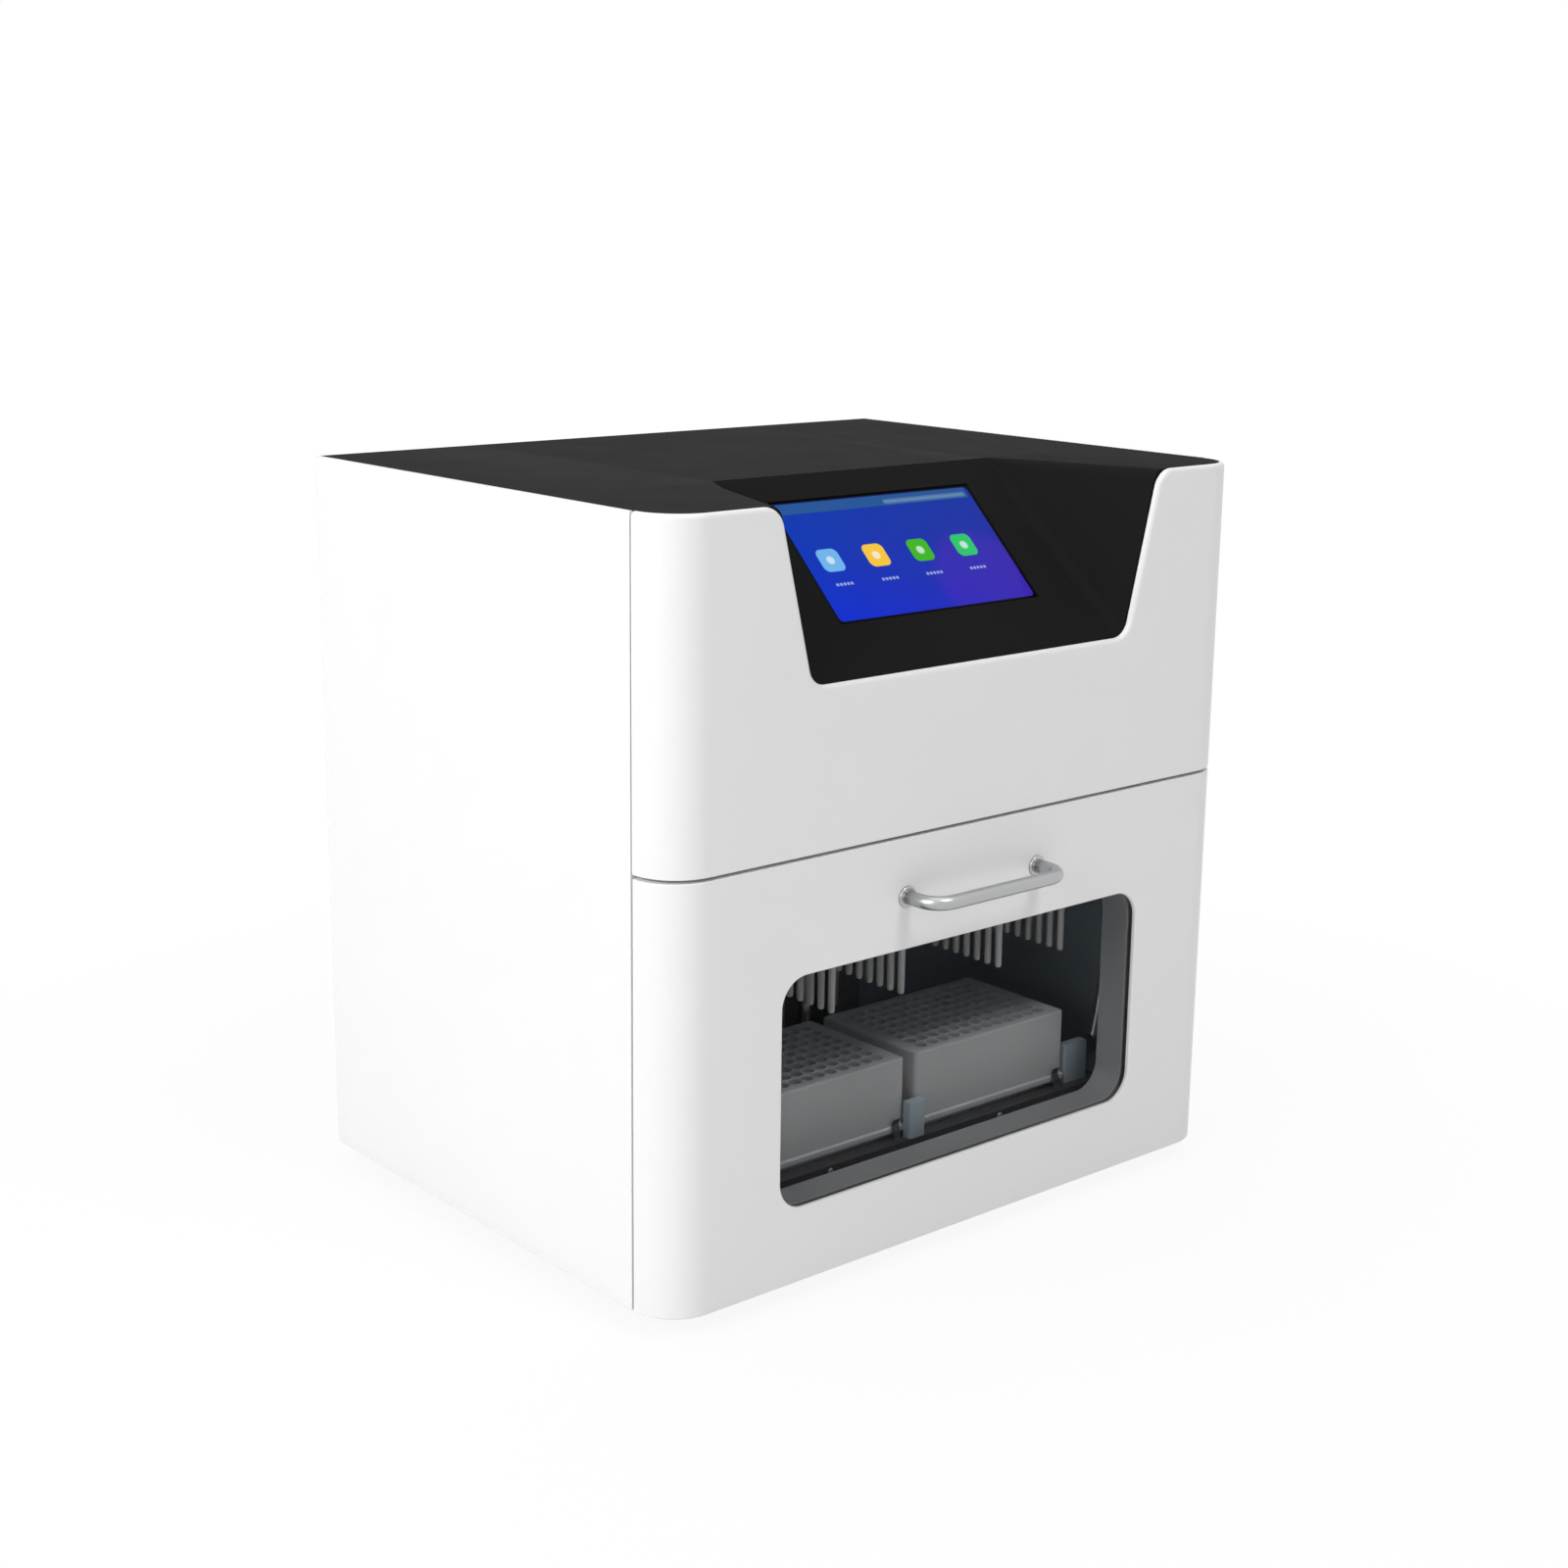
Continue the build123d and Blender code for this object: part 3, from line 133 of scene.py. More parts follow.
def add(tree, kind, inputs=None, **settings):
    """Adds a shader node with its settings; an input is a value or another node's socket."""
    node = tree.nodes.new("ShaderNode" + kind)
    for name, value in settings.items():
        setattr(node, name, value)
    for key, value in (inputs or {}).items():
        if isinstance(value, bpy.types.NodeSocket):
            tree.links.new(value, node.inputs[key])
        else:
            node.inputs[key].default_value = value
    return node


def fresh_tree(block):
    """The emptied node tree of a material or a world."""
    block.use_nodes = True
    block.node_tree.nodes.clear()
    return block.node_tree


# %% [markdown]
# ## From points to pieces
# A surface here is a grid of points. The helpers turn it into four-sided faces, merge points where surfaces
# meet, and give a finished skin the body of the solid that it stands for.

# %% Mesh helpers
def make_piece(name, points, faces, material, smooth=True):
    """A mesh object from points in millimetres and a list of faces."""
    mesh = bpy.data.meshes.new(name)
    mesh.from_pydata((np.asarray(points) * MM).tolist(), [], [list(map(int, face)) for face in faces])
    mesh.polygons.foreach_set("use_smooth", [smooth] * len(mesh.polygons))
    mesh.materials.append(material)
    mesh.update()
    piece = bpy.data.objects.new(name, mesh)
    bpy.context.scene.collection.objects.link(piece)
    return piece


bodies = frame["record"]["behaviour"]["bodies"]
body_of_node = {node: body for body, names in bodies.items() for node in names}
slot_of_node = {part["node"]: part["material_slot"] for part in frame["record"]["subparts"]}


def stand_for(piece, *names):
    """The piece is shown in place of these solids and moves with their body."""
    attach(piece, body_of_node[names[0]])
    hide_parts(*names)
    return piece


def shade_flat(piece):
    """Lets every face show its own plane, as cut and folded pieces do."""
    piece.data.polygons.foreach_set("use_smooth", [False] * len(piece.data.polygons))
    return piece


def grid_faces(rows, columns, wrap=False):
    """Four-sided faces of a grid of rows x columns points; wrap joins the last column to the first."""
    index = np.arange(rows * columns).reshape(rows, columns)
    across = np.roll(index, -1, axis=1) if wrap else index[:, 1:]
    start = index if wrap else index[:, :-1]
    return np.stack((start[:-1], across[:-1], across[1:], start[1:]), axis=-1).reshape(-1, 4)


def weld(piece, distance=0.01, turn_out=True):
    """Merges points closer than a distance in millimetres and turns the faces of a closed skin outwards."""
    work = bmesh.new()
    work.from_mesh(piece.data)
    bmesh.ops.remove_doubles(work, verts=work.verts, dist=distance * MM)
    if turn_out:
        bmesh.ops.recalc_face_normals(work, faces=work.faces)
    work.to_mesh(piece.data)
    work.free()
    return piece


# %% [markdown]
# ## Finishes
# Every finish starts from the typical values of its material. Coats and mouldings get a fine bump at their
# real grain size, and the edges of the solids are rounded by a bevel in the shader, as a press brake or a
# mould leaves them.

# %% Finish builder
def finish(name, colour, roughness, metallic=0.0, grain=0.6, bump=0.02, tone=0.03, edge=0.5,
           stretch=(1, 1, 1), patch=40.0, rough_spread=0.06, **sockets):
    """A finish whose colour, roughness and height vary with noise; sizes are in millimetres.

    grain is the size of the bump's grains, patch the size of slow changes of tone, edge the radius of the
    edges, and stretch drags the noise along an axis, as brushing does."""
    material = bpy.data.materials.new(name)
    tree = fresh_tree(material)
    place = add(tree, "TexCoord")
    scaled = add(tree, "Mapping", {"Vector": place.outputs["Object"], "Scale": stretch})
    fine = add(tree, "TexNoise", {"Vector": scaled.outputs[0], "Scale": 1 / (grain * MM), "Detail": 3.0})
    slow = add(tree, "TexNoise", {"Vector": scaled.outputs[0], "Scale": 1 / (patch * MM), "Detail": 4.0})
    base = hex_colour(colour)
    low = tuple(c * (1 - tone) for c in base[:3]) + (1.0,)
    high = tuple(min(c * (1 + tone), 1.0) for c in base[:3]) + (1.0,)
    tint = add(tree, "Mix", {"Factor": slow.outputs[0], "A": low, "B": high}, data_type="RGBA")
    rough = add(tree, "MapRange", {"Value": slow.outputs[0], "To Min": max(roughness - rough_spread, 0.02),
                                   "To Max": min(roughness + rough_spread, 1.0)})
    rounded = add(tree, "Bevel", {"Radius": edge * MM}, samples=4)
    height = add(tree, "Bump", {"Height": fine.outputs[0], "Normal": rounded.outputs[0], "Strength": 1.0,
                                "Distance": bump * MM})
    values = {"Base Color": tint.outputs["Result"], "Roughness": rough.outputs[0], "Metallic": metallic,
              "Normal": height.outputs[0]}
    values.update(sockets)
    shader = add(tree, "BsdfPrincipled", values)
    add(tree, "OutputMaterial", {"Surface": shader.outputs[0]})
    return material


# %% [markdown]
# ## Coats and mouldings
# Powder coat has a fine orange peel and a half matt gloss. The lid is textured moulded ABS, which scatters
# light so widely that almost no gloss is left. Polypropylene lets a little light in, so its corners look
# soft.

# %% Painted and moulded finishes
white_coat = finish("powder_coated_steel_white", "#ECECEC", 0.38, grain=1.4, bump=0.012, tone=0.012)
lid_plastic = finish("moulded_abs_charcoal", "#1E1E1F", 0.62, grain=0.5, bump=0.02, tone=0.05,
                     **{"Specular IOR Level": 0.01})
liner_coat = finish("powder_coated_steel_light_grey", "#AAABAC", 0.45, grain=1.2, bump=0.012)
# The clamps' finish is a lighter copy of the walls' blue-grey. It is painted light, so the clamps look more
# brightly lit than the walls.
clamp_coat_painted_light = finish("blue_grey_lightened_for_painted_light", "#C0D0D9", 0.4, grain=1.2, bump=0.012)
blue_coat = finish("powder_coated_steel_blue_grey", "#A3B0BB", 0.45, grain=1.2, bump=0.012)
dark_coat = finish("powder_coated_steel_dark_grey", "#4A4B4D", 0.5, grain=1.2, bump=0.015)
plate_plastic = finish("moulded_polypropylene_plate", "#D9DADB", 0.42, grain=0.8, bump=0.01, tone=0.02,
                       **{"Subsurface Weight": 0.06})
comb_plastic = finish("moulded_polypropylene_comb", "#DADAD6", 0.3, grain=0.8, bump=0.008, tone=0.02)
black_plastic = finish("moulded_black_nylon", "#191919", 0.5, grain=0.5, bump=0.015, tone=0.06)
rubber = finish("moulded_black_rubber", "#161616", 0.75, grain=0.7, bump=0.03, tone=0.08)

# %% [markdown]
# ## Metals and lamps
# Metals keep the default IOR and differ in roughness: ground rod is nearly a mirror, zinc shows its
# spangle, and the handle's noise is stretched along the bar, as its brushing is.

# %% Metal, board and lamp finishes
zinc = finish("zinc_plated_sheet", "#B4B7B9", 0.35, metallic=1.0, grain=3.0, bump=0.01, tone=0.08,
              patch=12.0)
stainless = finish("brushed_stainless_bar", "#B2B3B4", 0.3, metallic=1.0, grain=0.35, bump=0.004, tone=0.04,
                   stretch=(0.05, 1, 1), patch=8.0)
ground = finish("ground_steel_rod", "#D5D7D9", 0.12, metallic=1.0, grain=0.4, bump=0.002)
aluminium = finish("clear_anodised_aluminium", "#C3C6C9", 0.34, metallic=1.0, grain=0.5, bump=0.006)
bronze = finish("sintered_bronze_bush", "#9A7A45", 0.45, metallic=1.0, grain=0.5, bump=0.015)
board = finish("green_solder_resist", "#14532F", 0.35, grain=2.0, bump=0.01, tone=0.08)
lamp = finish("quartz_lamp_tube", "#DDE3EE", 0.1, grain=2.0, bump=0.001, tone=0.01, Alpha=0.35)
diffuser = finish("opal_lamp_diffuser", "#EDEDED", 0.5, grain=1.0, bump=0.004, tone=0.01,
                  **{"Emission Color": hex_colour("#F4F7FF"), "Emission Strength": 16.0})
print("finishes", len(bpy.data.materials))

# %% [markdown]
# ## Smoked window
# The pane is a flat sheet of tinted acrylic. A low alpha over a dark colour gives the tint, and the
# shader's own gloss gives the reflection. Then each solid gets the finish of its slot.

# %% Smoked acrylic
smoke = finish("smoked_acrylic_pane", "#0E0F10", 0.04, grain=60.0, bump=0.002, tone=0.02,
               rough_spread=0.01, Alpha=0.2, **{"Specular IOR Level": 0.04})

# %% Give every solid its finish
FINISH_OF_SLOT = {
    "white_enamel": white_coat, "lid_grey": lid_plastic, "liner_grey": liner_coat, "blue_grey": blue_coat,
    "dark_steel": dark_coat, "zinc_steel": zinc, "stainless": stainless, "ground_steel": ground,
    "aluminium": aluminium, "plate_plastic": plate_plastic, "comb_plastic": comb_plastic,
    "smoke_acrylic": smoke, "screen_glass": black_plastic, "rubber": rubber, "lamp_glass": lamp,
    "lamp_white": diffuser, "black_plastic": black_plastic, "board_green": board, "bronze": bronze,
}
finish_of_node = {node: FINISH_OF_SLOT[slot] for node, slot in slot_of_node.items()}
# The clamps share the walls' slot but get the lighter copy, which is painted light.
finish_of_node["plate_clamps"] = clamp_coat_painted_light
for node, material in finish_of_node.items():
    nodes[node].data.materials.clear()
    nodes[node].data.materials.append(material)

# %% [markdown]
# ## Lines with round corners
# Sheet metal and mouldings are lines carried through space: a bent plan becomes the door's skin, a ring of
# points becomes a tube. A corner is rounded by an arc that touches both of its sides.

# %% Outline helpers
def rounded_path(corners, radii, steps=10):
    """The line through corners with each inner corner replaced by an arc.

    For directions u and v from a corner and the half angle h between them, the arc's middle lies
    radius / sin h along u + v, and it touches both lines radius / tan h away from the corner."""
    corners = np.asarray(corners, float)
    stretches = [corners[:1]]
    for before, corner, after, radius in zip(corners[:-2], corners[1:-1], corners[2:], radii):
        u = (before - corner) / np.linalg.norm(before - corner)
        v = (after - corner) / np.linalg.norm(after - corner)
        half = np.arccos(np.clip(u @ v, -1, 1)) / 2
        middle = corner + (u + v) / np.linalg.norm(u + v) * radius / np.sin(half)
        start = corner + u * radius / np.tan(half) - middle
        end = corner + v * radius / np.tan(half) - middle
        sweep = np.pi - 2 * half
        share = np.linspace(0, 1, steps + 1)[:, None]
        arc = (np.sin((1 - share) * sweep) * start + np.sin(share * sweep) * end) / np.sin(sweep)
        stretches.append(middle + arc)
    stretches.append(corners[-1:])
    return np.concatenate(stretches)


def rounded_rectangle(half_width, half_height, radius, steps=6):
    """Closed loop of a rectangle with round corners, anticlockwise from the right."""
    turn = np.radians(np.linspace(0, 90, steps + 1))[None, :] + np.radians(np.arange(4) * 90)[:, None]
    signs = np.array(((1, 1), (-1, 1), (-1, -1), (1, -1)))
    middles = signs * (half_width - radius, half_height - radius)
    loop = middles[:, None, :] + radius * np.stack((np.cos(turn), np.sin(turn)), axis=-1)
    return loop.reshape(-1, 2)


def ring(radius, sides):
    """Closed loop of a circle, anticlockwise."""
    turn = np.linspace(0, 2 * np.pi, sides, endpoint=False)
    return radius * np.column_stack((np.cos(turn), np.sin(turn)))


# %% [markdown]
# ## Skins over loops
# Loops in plan or in the front view are set at heights or depths and joined by a grid of faces. Modifiers
# then round the cut edges and give a sheet its wall.

# %% Skin, edge and wall helpers
def loft(name, loops, material, caps=(True, True)):
    """A skin over a stack of closed loops with equal numbers of points, its ends closed by single faces."""
    loops = np.asarray(loops, float)
    rows, columns = loops.shape[:2]
    faces = grid_faces(rows, columns, wrap=True).tolist()
    if caps[0]:
        faces.append(list(range(columns)))
    if caps[1]:
        faces.append(list(range((rows - 1) * columns, rows * columns)))
    return weld(make_piece(name, loops.reshape(-1, 3), faces, material))


def upright(loop, z):
    """A loop in plan set at a height."""
    return np.column_stack((loop, np.full(len(loop), z)))


def facing(loop, y):
    """A loop in the front view set at a depth."""
    return np.column_stack((loop[:, 0], np.full(len(loop), y), loop[:, 1]))


def soften(piece, width, segments=3, angle=30):
    """Rounds a piece's edges with a bevel whose flat neighbours stay flat."""
    bevel = piece.modifiers.new("soft_edges", "BEVEL")
    bevel.width = width * MM
    bevel.segments = segments
    bevel.limit_method = "ANGLE"
    bevel.angle_limit = np.radians(angle)
    bevel.harden_normals = True
    return piece


def thicken(piece, thickness, offset=-1.0):
    """Gives a skin its wall, inwards from its faces."""
    wall = piece.modifiers.new("wall", "SOLIDIFY")
    wall.thickness = thickness * MM
    wall.offset = offset
    wall.use_even_offset = True
    return piece


def housing(points):
    """Moves points from the housing's own place, front face at y 0 and underside at z 0, to the frame."""
    return np.asarray(points, float) + (0, FRONT, BOTTOM)


def join(name, pieces):
    """Joins pieces into one mesh under a name."""
    work = bmesh.new()
    for piece in pieces:
        work.from_mesh(piece.data)
    for piece in pieces[1:]:
        bpy.data.objects.remove(piece)
    work.to_mesh(pieces[0].data)
    work.free()
    pieces[0].name = name
    return pieces[0]


# %% [markdown]
# ## The door's skin
# On the real door a steel sheet is bent round both front corners. Its flat middle is a ring of faces from
# the window's round outline out to a rectangle, and two strips go on from there round the corners. The two
# share the same heights, so the weld leaves no seam.

# %% Window and border outlines
WINDOW_W, WINDOW_H, WINDOW_R = 276.0, 131.0, 17.0
WINDOW_MID = 108.5
RING_HALF = 168.0
CORNER_STEPS, WINDOW_STEPS = 14, 12
NEAR = 1e-6


def front_plan(inset, steps):
    """The front shells' plan, from the left side round both corners, drawn in by an inset."""
    side, front = HALF - inset, inset
    corners = [(-side, DEPTH), (-side, front), (side, front), (side, DEPTH)]
    return rounded_path(corners, [CORNER_R - inset] * 2, steps)


def window_loop(grow):
    """The window's outline in the front view, grown all round."""
    return rounded_rectangle(WINDOW_W / 2 + grow, WINDOW_H / 2 + grow, WINDOW_R + grow,
                             WINDOW_STEPS) + (0, WINDOW_MID)


def rectangle_around(loop, half, low, high):
    """For each point of the window's outline, its partner on a rectangle around it.

    On the half of a corner's arc that faces sideways the partner is straight out in x, on the other half it
    is straight up or down, and at 45 degrees it is the rectangle's corner."""
    away = np.abs(loop - (0, WINDOW_MID)) - (WINDOW_W / 2 - WINDOW_R, WINDOW_H / 2 - WINDOW_R)
    sideways = away[:, 0] >= away[:, 1] - NEAR
    upwards = away[:, 1] >= away[:, 0] - NEAR
    edge_z = np.where(loop[:, 1] > WINDOW_MID, high, low)
    x = np.where(sideways, np.sign(loop[:, 0]) * half, loop[:, 0])
    z = np.where(upwards, edge_z, loop[:, 1])
    return np.column_stack((x, z))


left_plan = front_plan(0, CORNER_STEPS)[:CORNER_STEPS + 2]
window = window_loop(0)
border = rectangle_around(window, RING_HALF, 0, DOOR_TOP)
heights = np.unique(border[np.abs(border[:, 0] - RING_HALF) < NEAR][:, 1].round(6))
print("strip rows", len(heights))

# %% Door skin
SHEET_EDGE = 0.9


def strip(side):
    """The skin from a door's side edge round its corner to the ring's border, at the border's heights."""
    line = np.vstack((left_plan, (-RING_HALF, 0))) * (side, 1)
    grid = np.stack([upright(line, z) for z in heights])
    return make_piece("strip", housing(grid.reshape(-1, 3)), grid_faces(*grid.shape[:2]), white_coat)


ring_points = np.stack((facing(window, 0), facing(border, 0)))
ring_faces = grid_faces(2, len(window), wrap=True)
ring_piece = make_piece("ring", housing(ring_points.reshape(-1, 3)), ring_faces, white_coat)
door_skin = weld(join("door_skin", [ring_piece, strip(-1), strip(1)]))


def face_out(piece):
    """Turns all faces if the face nearest the front looks to the back."""
    polygons = piece.data.polygons
    nearest = min(polygons, key=lambda face: face.center.y)
    if nearest.normal.y > 0:
        piece.data.flip_normals()
    return piece


face_out(door_skin)
soften(thicken(door_skin, SHELL), SHEET_EDGE)
stand_for(door_skin, "door_shell")
print("door skin", len(door_skin.data.polygons), "faces")

# %% [markdown]
# ## Folded edges
# The door's sheet is folded in along its top and bottom, which makes it stiff and hides its cut edge. Each
# fold is the plan inside the wall, lofted and closed.

# %% Door flanges
DOOR_FLANGE, FLANGE_STEPS = 2.5, 8


def flange(name, low, high):
    """A turned-in edge of a front shell: the plan inside the wall, between two heights."""
    inner = front_plan(SHELL, FLANGE_STEPS)
    return shade_flat(loft(name, [housing(upright(inner, z)) for z in (low, high)], white_coat))


for name, low, high in (("door_top_flange", DOOR_TOP - DOOR_FLANGE, DOOR_TOP),
                        ("door_low_flange", 0.0, DOOR_FLANGE)):
    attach(flange(name, low, high), "door")
print("door flanges", 2)

# %% [markdown]
# ## The upper shell
# The fixed shell above the door has a notch for the screen. Each column of the grid stands from the seam up
# to the notch's outline, and its edge is rolled over a small radius, which catches the light as a bright
# line.

# %% Upper shell skin
RECESS_LOW, RECESS_BACK_Y = 326.9, 103.0
VALLEY_HALF, RIM_HALF, BACK_HALF = 118.0, 141.0, 104.5
NOTCH_GAP, NOTCH_FOOT_R, NOTCH_TOP_R, NOTCH_STEPS = 1.1, 11.5, 13.0, 12
UPPER_FLANGE = 2.0
right_notch = [(0, RECESS_LOW + NOTCH_GAP), (VALLEY_HALF + NOTCH_GAP, RECESS_LOW + NOTCH_GAP),
               (RIM_HALF + NOTCH_GAP, FULL_H), (HALF - CORNER_R, FULL_H)]
notch = rounded_path(right_notch, [NOTCH_FOOT_R, NOTCH_TOP_R], NOTCH_STEPS)
notch = np.vstack((notch[::-1] * (-1, 1), notch[1:]))
EDGE_R, EDGE_STEPS, EDGE_LEAD = 2.8, 6, 1.0
corner_line = upright(left_plan[:-1], FULL_H)
outline = np.vstack((corner_line, facing(notch, 0), corner_line[::-1] * (-1, 1, 1)))


def unit(vectors):
    """Vectors brought to a length of 1."""
    return vectors / np.linalg.norm(vectors, axis=-1, keepdims=True)


def edge_sections(line):
    """The shell's upright section at each point p of its edge.

    out points away from the plan's inner core, and inward = along x out points into the material. The edge
    is a quarter turn: centre + R (out cos a - inward sin a), with its centre R inside p both ways. Below it
    the section drops straight down, and behind it runs the inner face."""
    core = HALF - CORNER_R
    out_x = line[:, 0] - np.clip(line[:, 0], -core, core)
    out_y = np.minimum(line[:, 1] - CORNER_R, 0)
    out = unit(np.column_stack((out_x, out_y, np.zeros(len(line)))))
    inward = unit(np.cross(unit(np.gradient(line, axis=0)), out))
    lead = line + inward * (EDGE_R + EDGE_LEAD)
    centre = line + (inward - out) * EDGE_R
    turn = np.linspace(0, np.pi / 2, EDGE_STEPS + 1)[None, :, None]
    roll = centre[:, None] + EDGE_R * (out[:, None] * np.cos(turn) - inward[:, None] * np.sin(turn))
    back = line - out * SHELL
    low = lead * (1, 1, 0) + (0, 0, UPPER_LOW)
    low_back = back * (1, 1, 0) + (0, 0, UPPER_LOW)
    return np.concatenate((low[:, None], lead[:, None], roll, back[:, None], low_back[:, None]), axis=1)


upper_skin = loft("upper_front_skin", housing(edge_sections(outline)), white_coat)
soften(upper_skin, 0.25, segments=2)
stand_for(upper_skin, "upper_front_shell")
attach(flange("upper_low_flange", UPPER_LOW, UPPER_LOW + UPPER_FLANGE), "cabinet")
print("upper skin", len(upper_skin.data.polygons), "faces")

# %% [markdown]
# ## The lid
# The lid is moulded in one piece and folds down into the slanted recess. A cut across it at any depth is
# the same line: flat floor, valley fillet, slanted wall, rim fillet and flat top. The grid carries that
# line from the front to the recess's back corner, where the wall has shrunk to nothing.

# %% Lid sections
LID_T = 3.0
LID_TOP = FULL_H - 0.1
LID_EDGE = 3.3
LID_HALF = HALF - 2.3
LID_CORNER = CORNER_R - LID_EDGE
SLANT = np.arctan2(FULL_H - RECESS_LOW, RECESS_BACK_Y - SHELL)
SCREEN_W, SCREEN_H, SCREEN_UP, SCREEN_GAP = 151.0, 84.0, 78.5, 0.3
screen_y = [SHELL + (SCREEN_UP + side * (SCREEN_H / 2 + SCREEN_GAP)) * np.cos(SLANT) for side in (-1, 1)]
screen_x = SCREEN_W / 2 + SCREEN_GAP
VALLEY_R, RIM_R, FILLET_STEPS = 9.0, 8.0, 9
FILLET_FADE, FILLET_LEAST = 0.25, 0.02
LID_WELD, END_GAP = 0.12, 0.05


def cut_across(y):
    """Right half of the lid's section at a depth y, from the middle outwards, as x and z.

    Floor, valley and rim go straight to the back corner; the fillets shrink over the last quarter."""
    back = (y - SHELL) / (RECESS_BACK_Y - SHELL)
    floor_z = RECESS_LOW + (LID_TOP - RECESS_LOW) * back
    valley = VALLEY_HALF + (BACK_HALF - VALLEY_HALF) * back
    rim = RIM_HALF + (BACK_HALF - RIM_HALF) * back
    depth = max(LID_CORNER - (y - LID_EDGE), 0)
    outer = LID_HALF - LID_CORNER + np.sqrt(LID_CORNER ** 2 - depth ** 2)
    size = np.clip((1 - back) / FILLET_FADE, FILLET_LEAST, 1)
    line = rounded_path([(screen_x, floor_z), (valley, floor_z), (rim, LID_TOP), (outer, LID_TOP)],
                        [VALLEY_R * size, RIM_R * size], FILLET_STEPS)
    return np.vstack(((0, floor_z), line))


front_rows = LID_EDGE + LID_CORNER * (1 - np.cos(np.linspace(0, np.pi / 2, 12)))
back_rows = np.linspace(front_rows[-1], RECESS_BACK_Y - END_GAP, 14)[1:]
depths = np.unique(np.concatenate((front_rows, back_rows, screen_y)))
sections = []
for y in depths:
    half_line = cut_across(y)
    line = np.vstack((half_line[::-1] * (-1, 1), half_line[1:]))
    sections.append(np.column_stack((line[:, 0], np.full(len(line), y), line[:, 1])))
sections = np.stack(sections)
rows, points_across = sections.shape[:2]
faces = grid_faces(rows, points_across)
middles = sections.reshape(-1, 3)[faces].mean(axis=1)
in_depth = (middles[:, 1] > screen_y[0]) & (middles[:, 1] < screen_y[1])
in_screen = in_depth & (np.abs(middles[:, 0]) < screen_x)
print("lid grid", sections.shape)

# %% Lid skin
recess_piece = make_piece("recess", housing(sections.reshape(-1, 3)), faces[~in_screen], lid_plastic)
last = sections[-1].copy()
last[:, 2] = LID_TOP
end = last.copy()
end[:, 1] = LID_BACK
rear_piece = make_piece("rear", housing(np.vstack((last, end))), grid_faces(2, points_across), lid_plastic)
lid_skin = weld(join("lid_skin", [recess_piece, rear_piece]), LID_WELD)
if max(lid_skin.data.polygons, key=lambda face: face.center.z).normal.z < 0:
    lid_skin.data.flip_normals()
soften(thicken(lid_skin, LID_T), 0.8, angle=25)
stand_for(lid_skin, "top_lid")
print("lid skin", len(lid_skin.data.polygons), "faces")

# %% [markdown]
# ## The handle
# A stainless rod bent twice, with a collar at each foot. A ring of points is carried along the bent line:
# at each point it lies in the plane of the upright and of the direction square to the line.

# %% Handle
HANDLE_HALF, HANDLE_OUT, HANDLE_R, HANDLE_BEND, HANDLE_Z = 50.5, 27.0, 4.0, 13.0, 204.0
COLLAR = ((6.0, 0.0), (6.0, -0.9), (5.6, -1.4), (4.8, -1.5), (3.9, -1.5))
TUBE_SIDES, BEND_STEPS = 32, 14


def tube(line, radius, sides, normal):
    """Loops of a round tube about a line square to a normal: line + radius (aside cos t + normal sin t)."""
    ahead = np.gradient(line, axis=0)
    ahead /= np.linalg.norm(ahead, axis=1)[:, None]
    aside = np.cross(ahead, normal)
    turn = np.linspace(0, 2 * np.pi, sides, endpoint=False)
    cos, sin = np.cos(turn)[None, :, None], np.sin(turn)[None, :, None]
    return line[:, None, :] + radius * (cos * aside[:, None, :] + sin * np.asarray(normal))


front_y = HANDLE_R - HANDLE_OUT
half_bar = [(-HANDLE_HALF, 0, HANDLE_Z), (-HANDLE_HALF, front_y, HANDLE_Z)]
other_half = [(HANDLE_HALF, front_y, HANDLE_Z), (HANDLE_HALF, 0, HANDLE_Z)]
bent = rounded_path(half_bar + other_half, [HANDLE_BEND] * 2, BEND_STEPS)
handle_pieces = [loft("bar", housing(tube(bent, HANDLE_R, TUBE_SIDES, (0, 0, 1))), stainless)]
for side in (-1, 1):
    collar = [facing(ring(radius, TUBE_SIDES) + (side * HANDLE_HALF, HANDLE_Z), y) for radius, y in COLLAR]
    handle_pieces.append(loft("collar", housing(np.stack(collar)), stainless))
handle = join("bar_handle", handle_pieces)
stand_for(handle, "door_handle")
print("handle", len(handle.data.polygons), "faces")

# %% [markdown]
# ## The touch screen
# The display is a dark glass plate in the slanted panel. Its loops are set by places across and up the
# slant.

# %% Screen glass outline
def slant_points(across, up, height):
    """Frame points from places on the slanted panel: across it, up the slant and above its surface."""
    along = np.array((0, np.cos(SLANT), np.sin(SLANT)))
    out = np.array((0, -np.sin(SLANT), np.cos(SLANT)))
    across, up, height = np.broadcast_arrays(*np.atleast_1d(across, up, height))
    start = np.array((0, SHELL, RECESS_LOW))
    return housing(start + across[:, None] * (1, 0, 0) + up[:, None] * along + height[:, None] * out)


GLASS_TOP, GLASS_EDGE, GLASS_R, GLASS_STEPS = -0.8, 0.6, 1.5, 4
screen_loops = [rounded_rectangle(SCREEN_W / 2 - inset, SCREEN_H / 2 - inset, GLASS_R - inset, GLASS_STEPS)
                for inset in (0, 0, GLASS_EDGE)]
heights_up = (-LID_T, GLASS_TOP - GLASS_EDGE, GLASS_TOP)
glass_loops = [slant_points(loop[:, 0], loop[:, 1] + SCREEN_UP, height)
               for loop, height in zip(screen_loops, heights_up)]
print("glass loops", len(glass_loops))
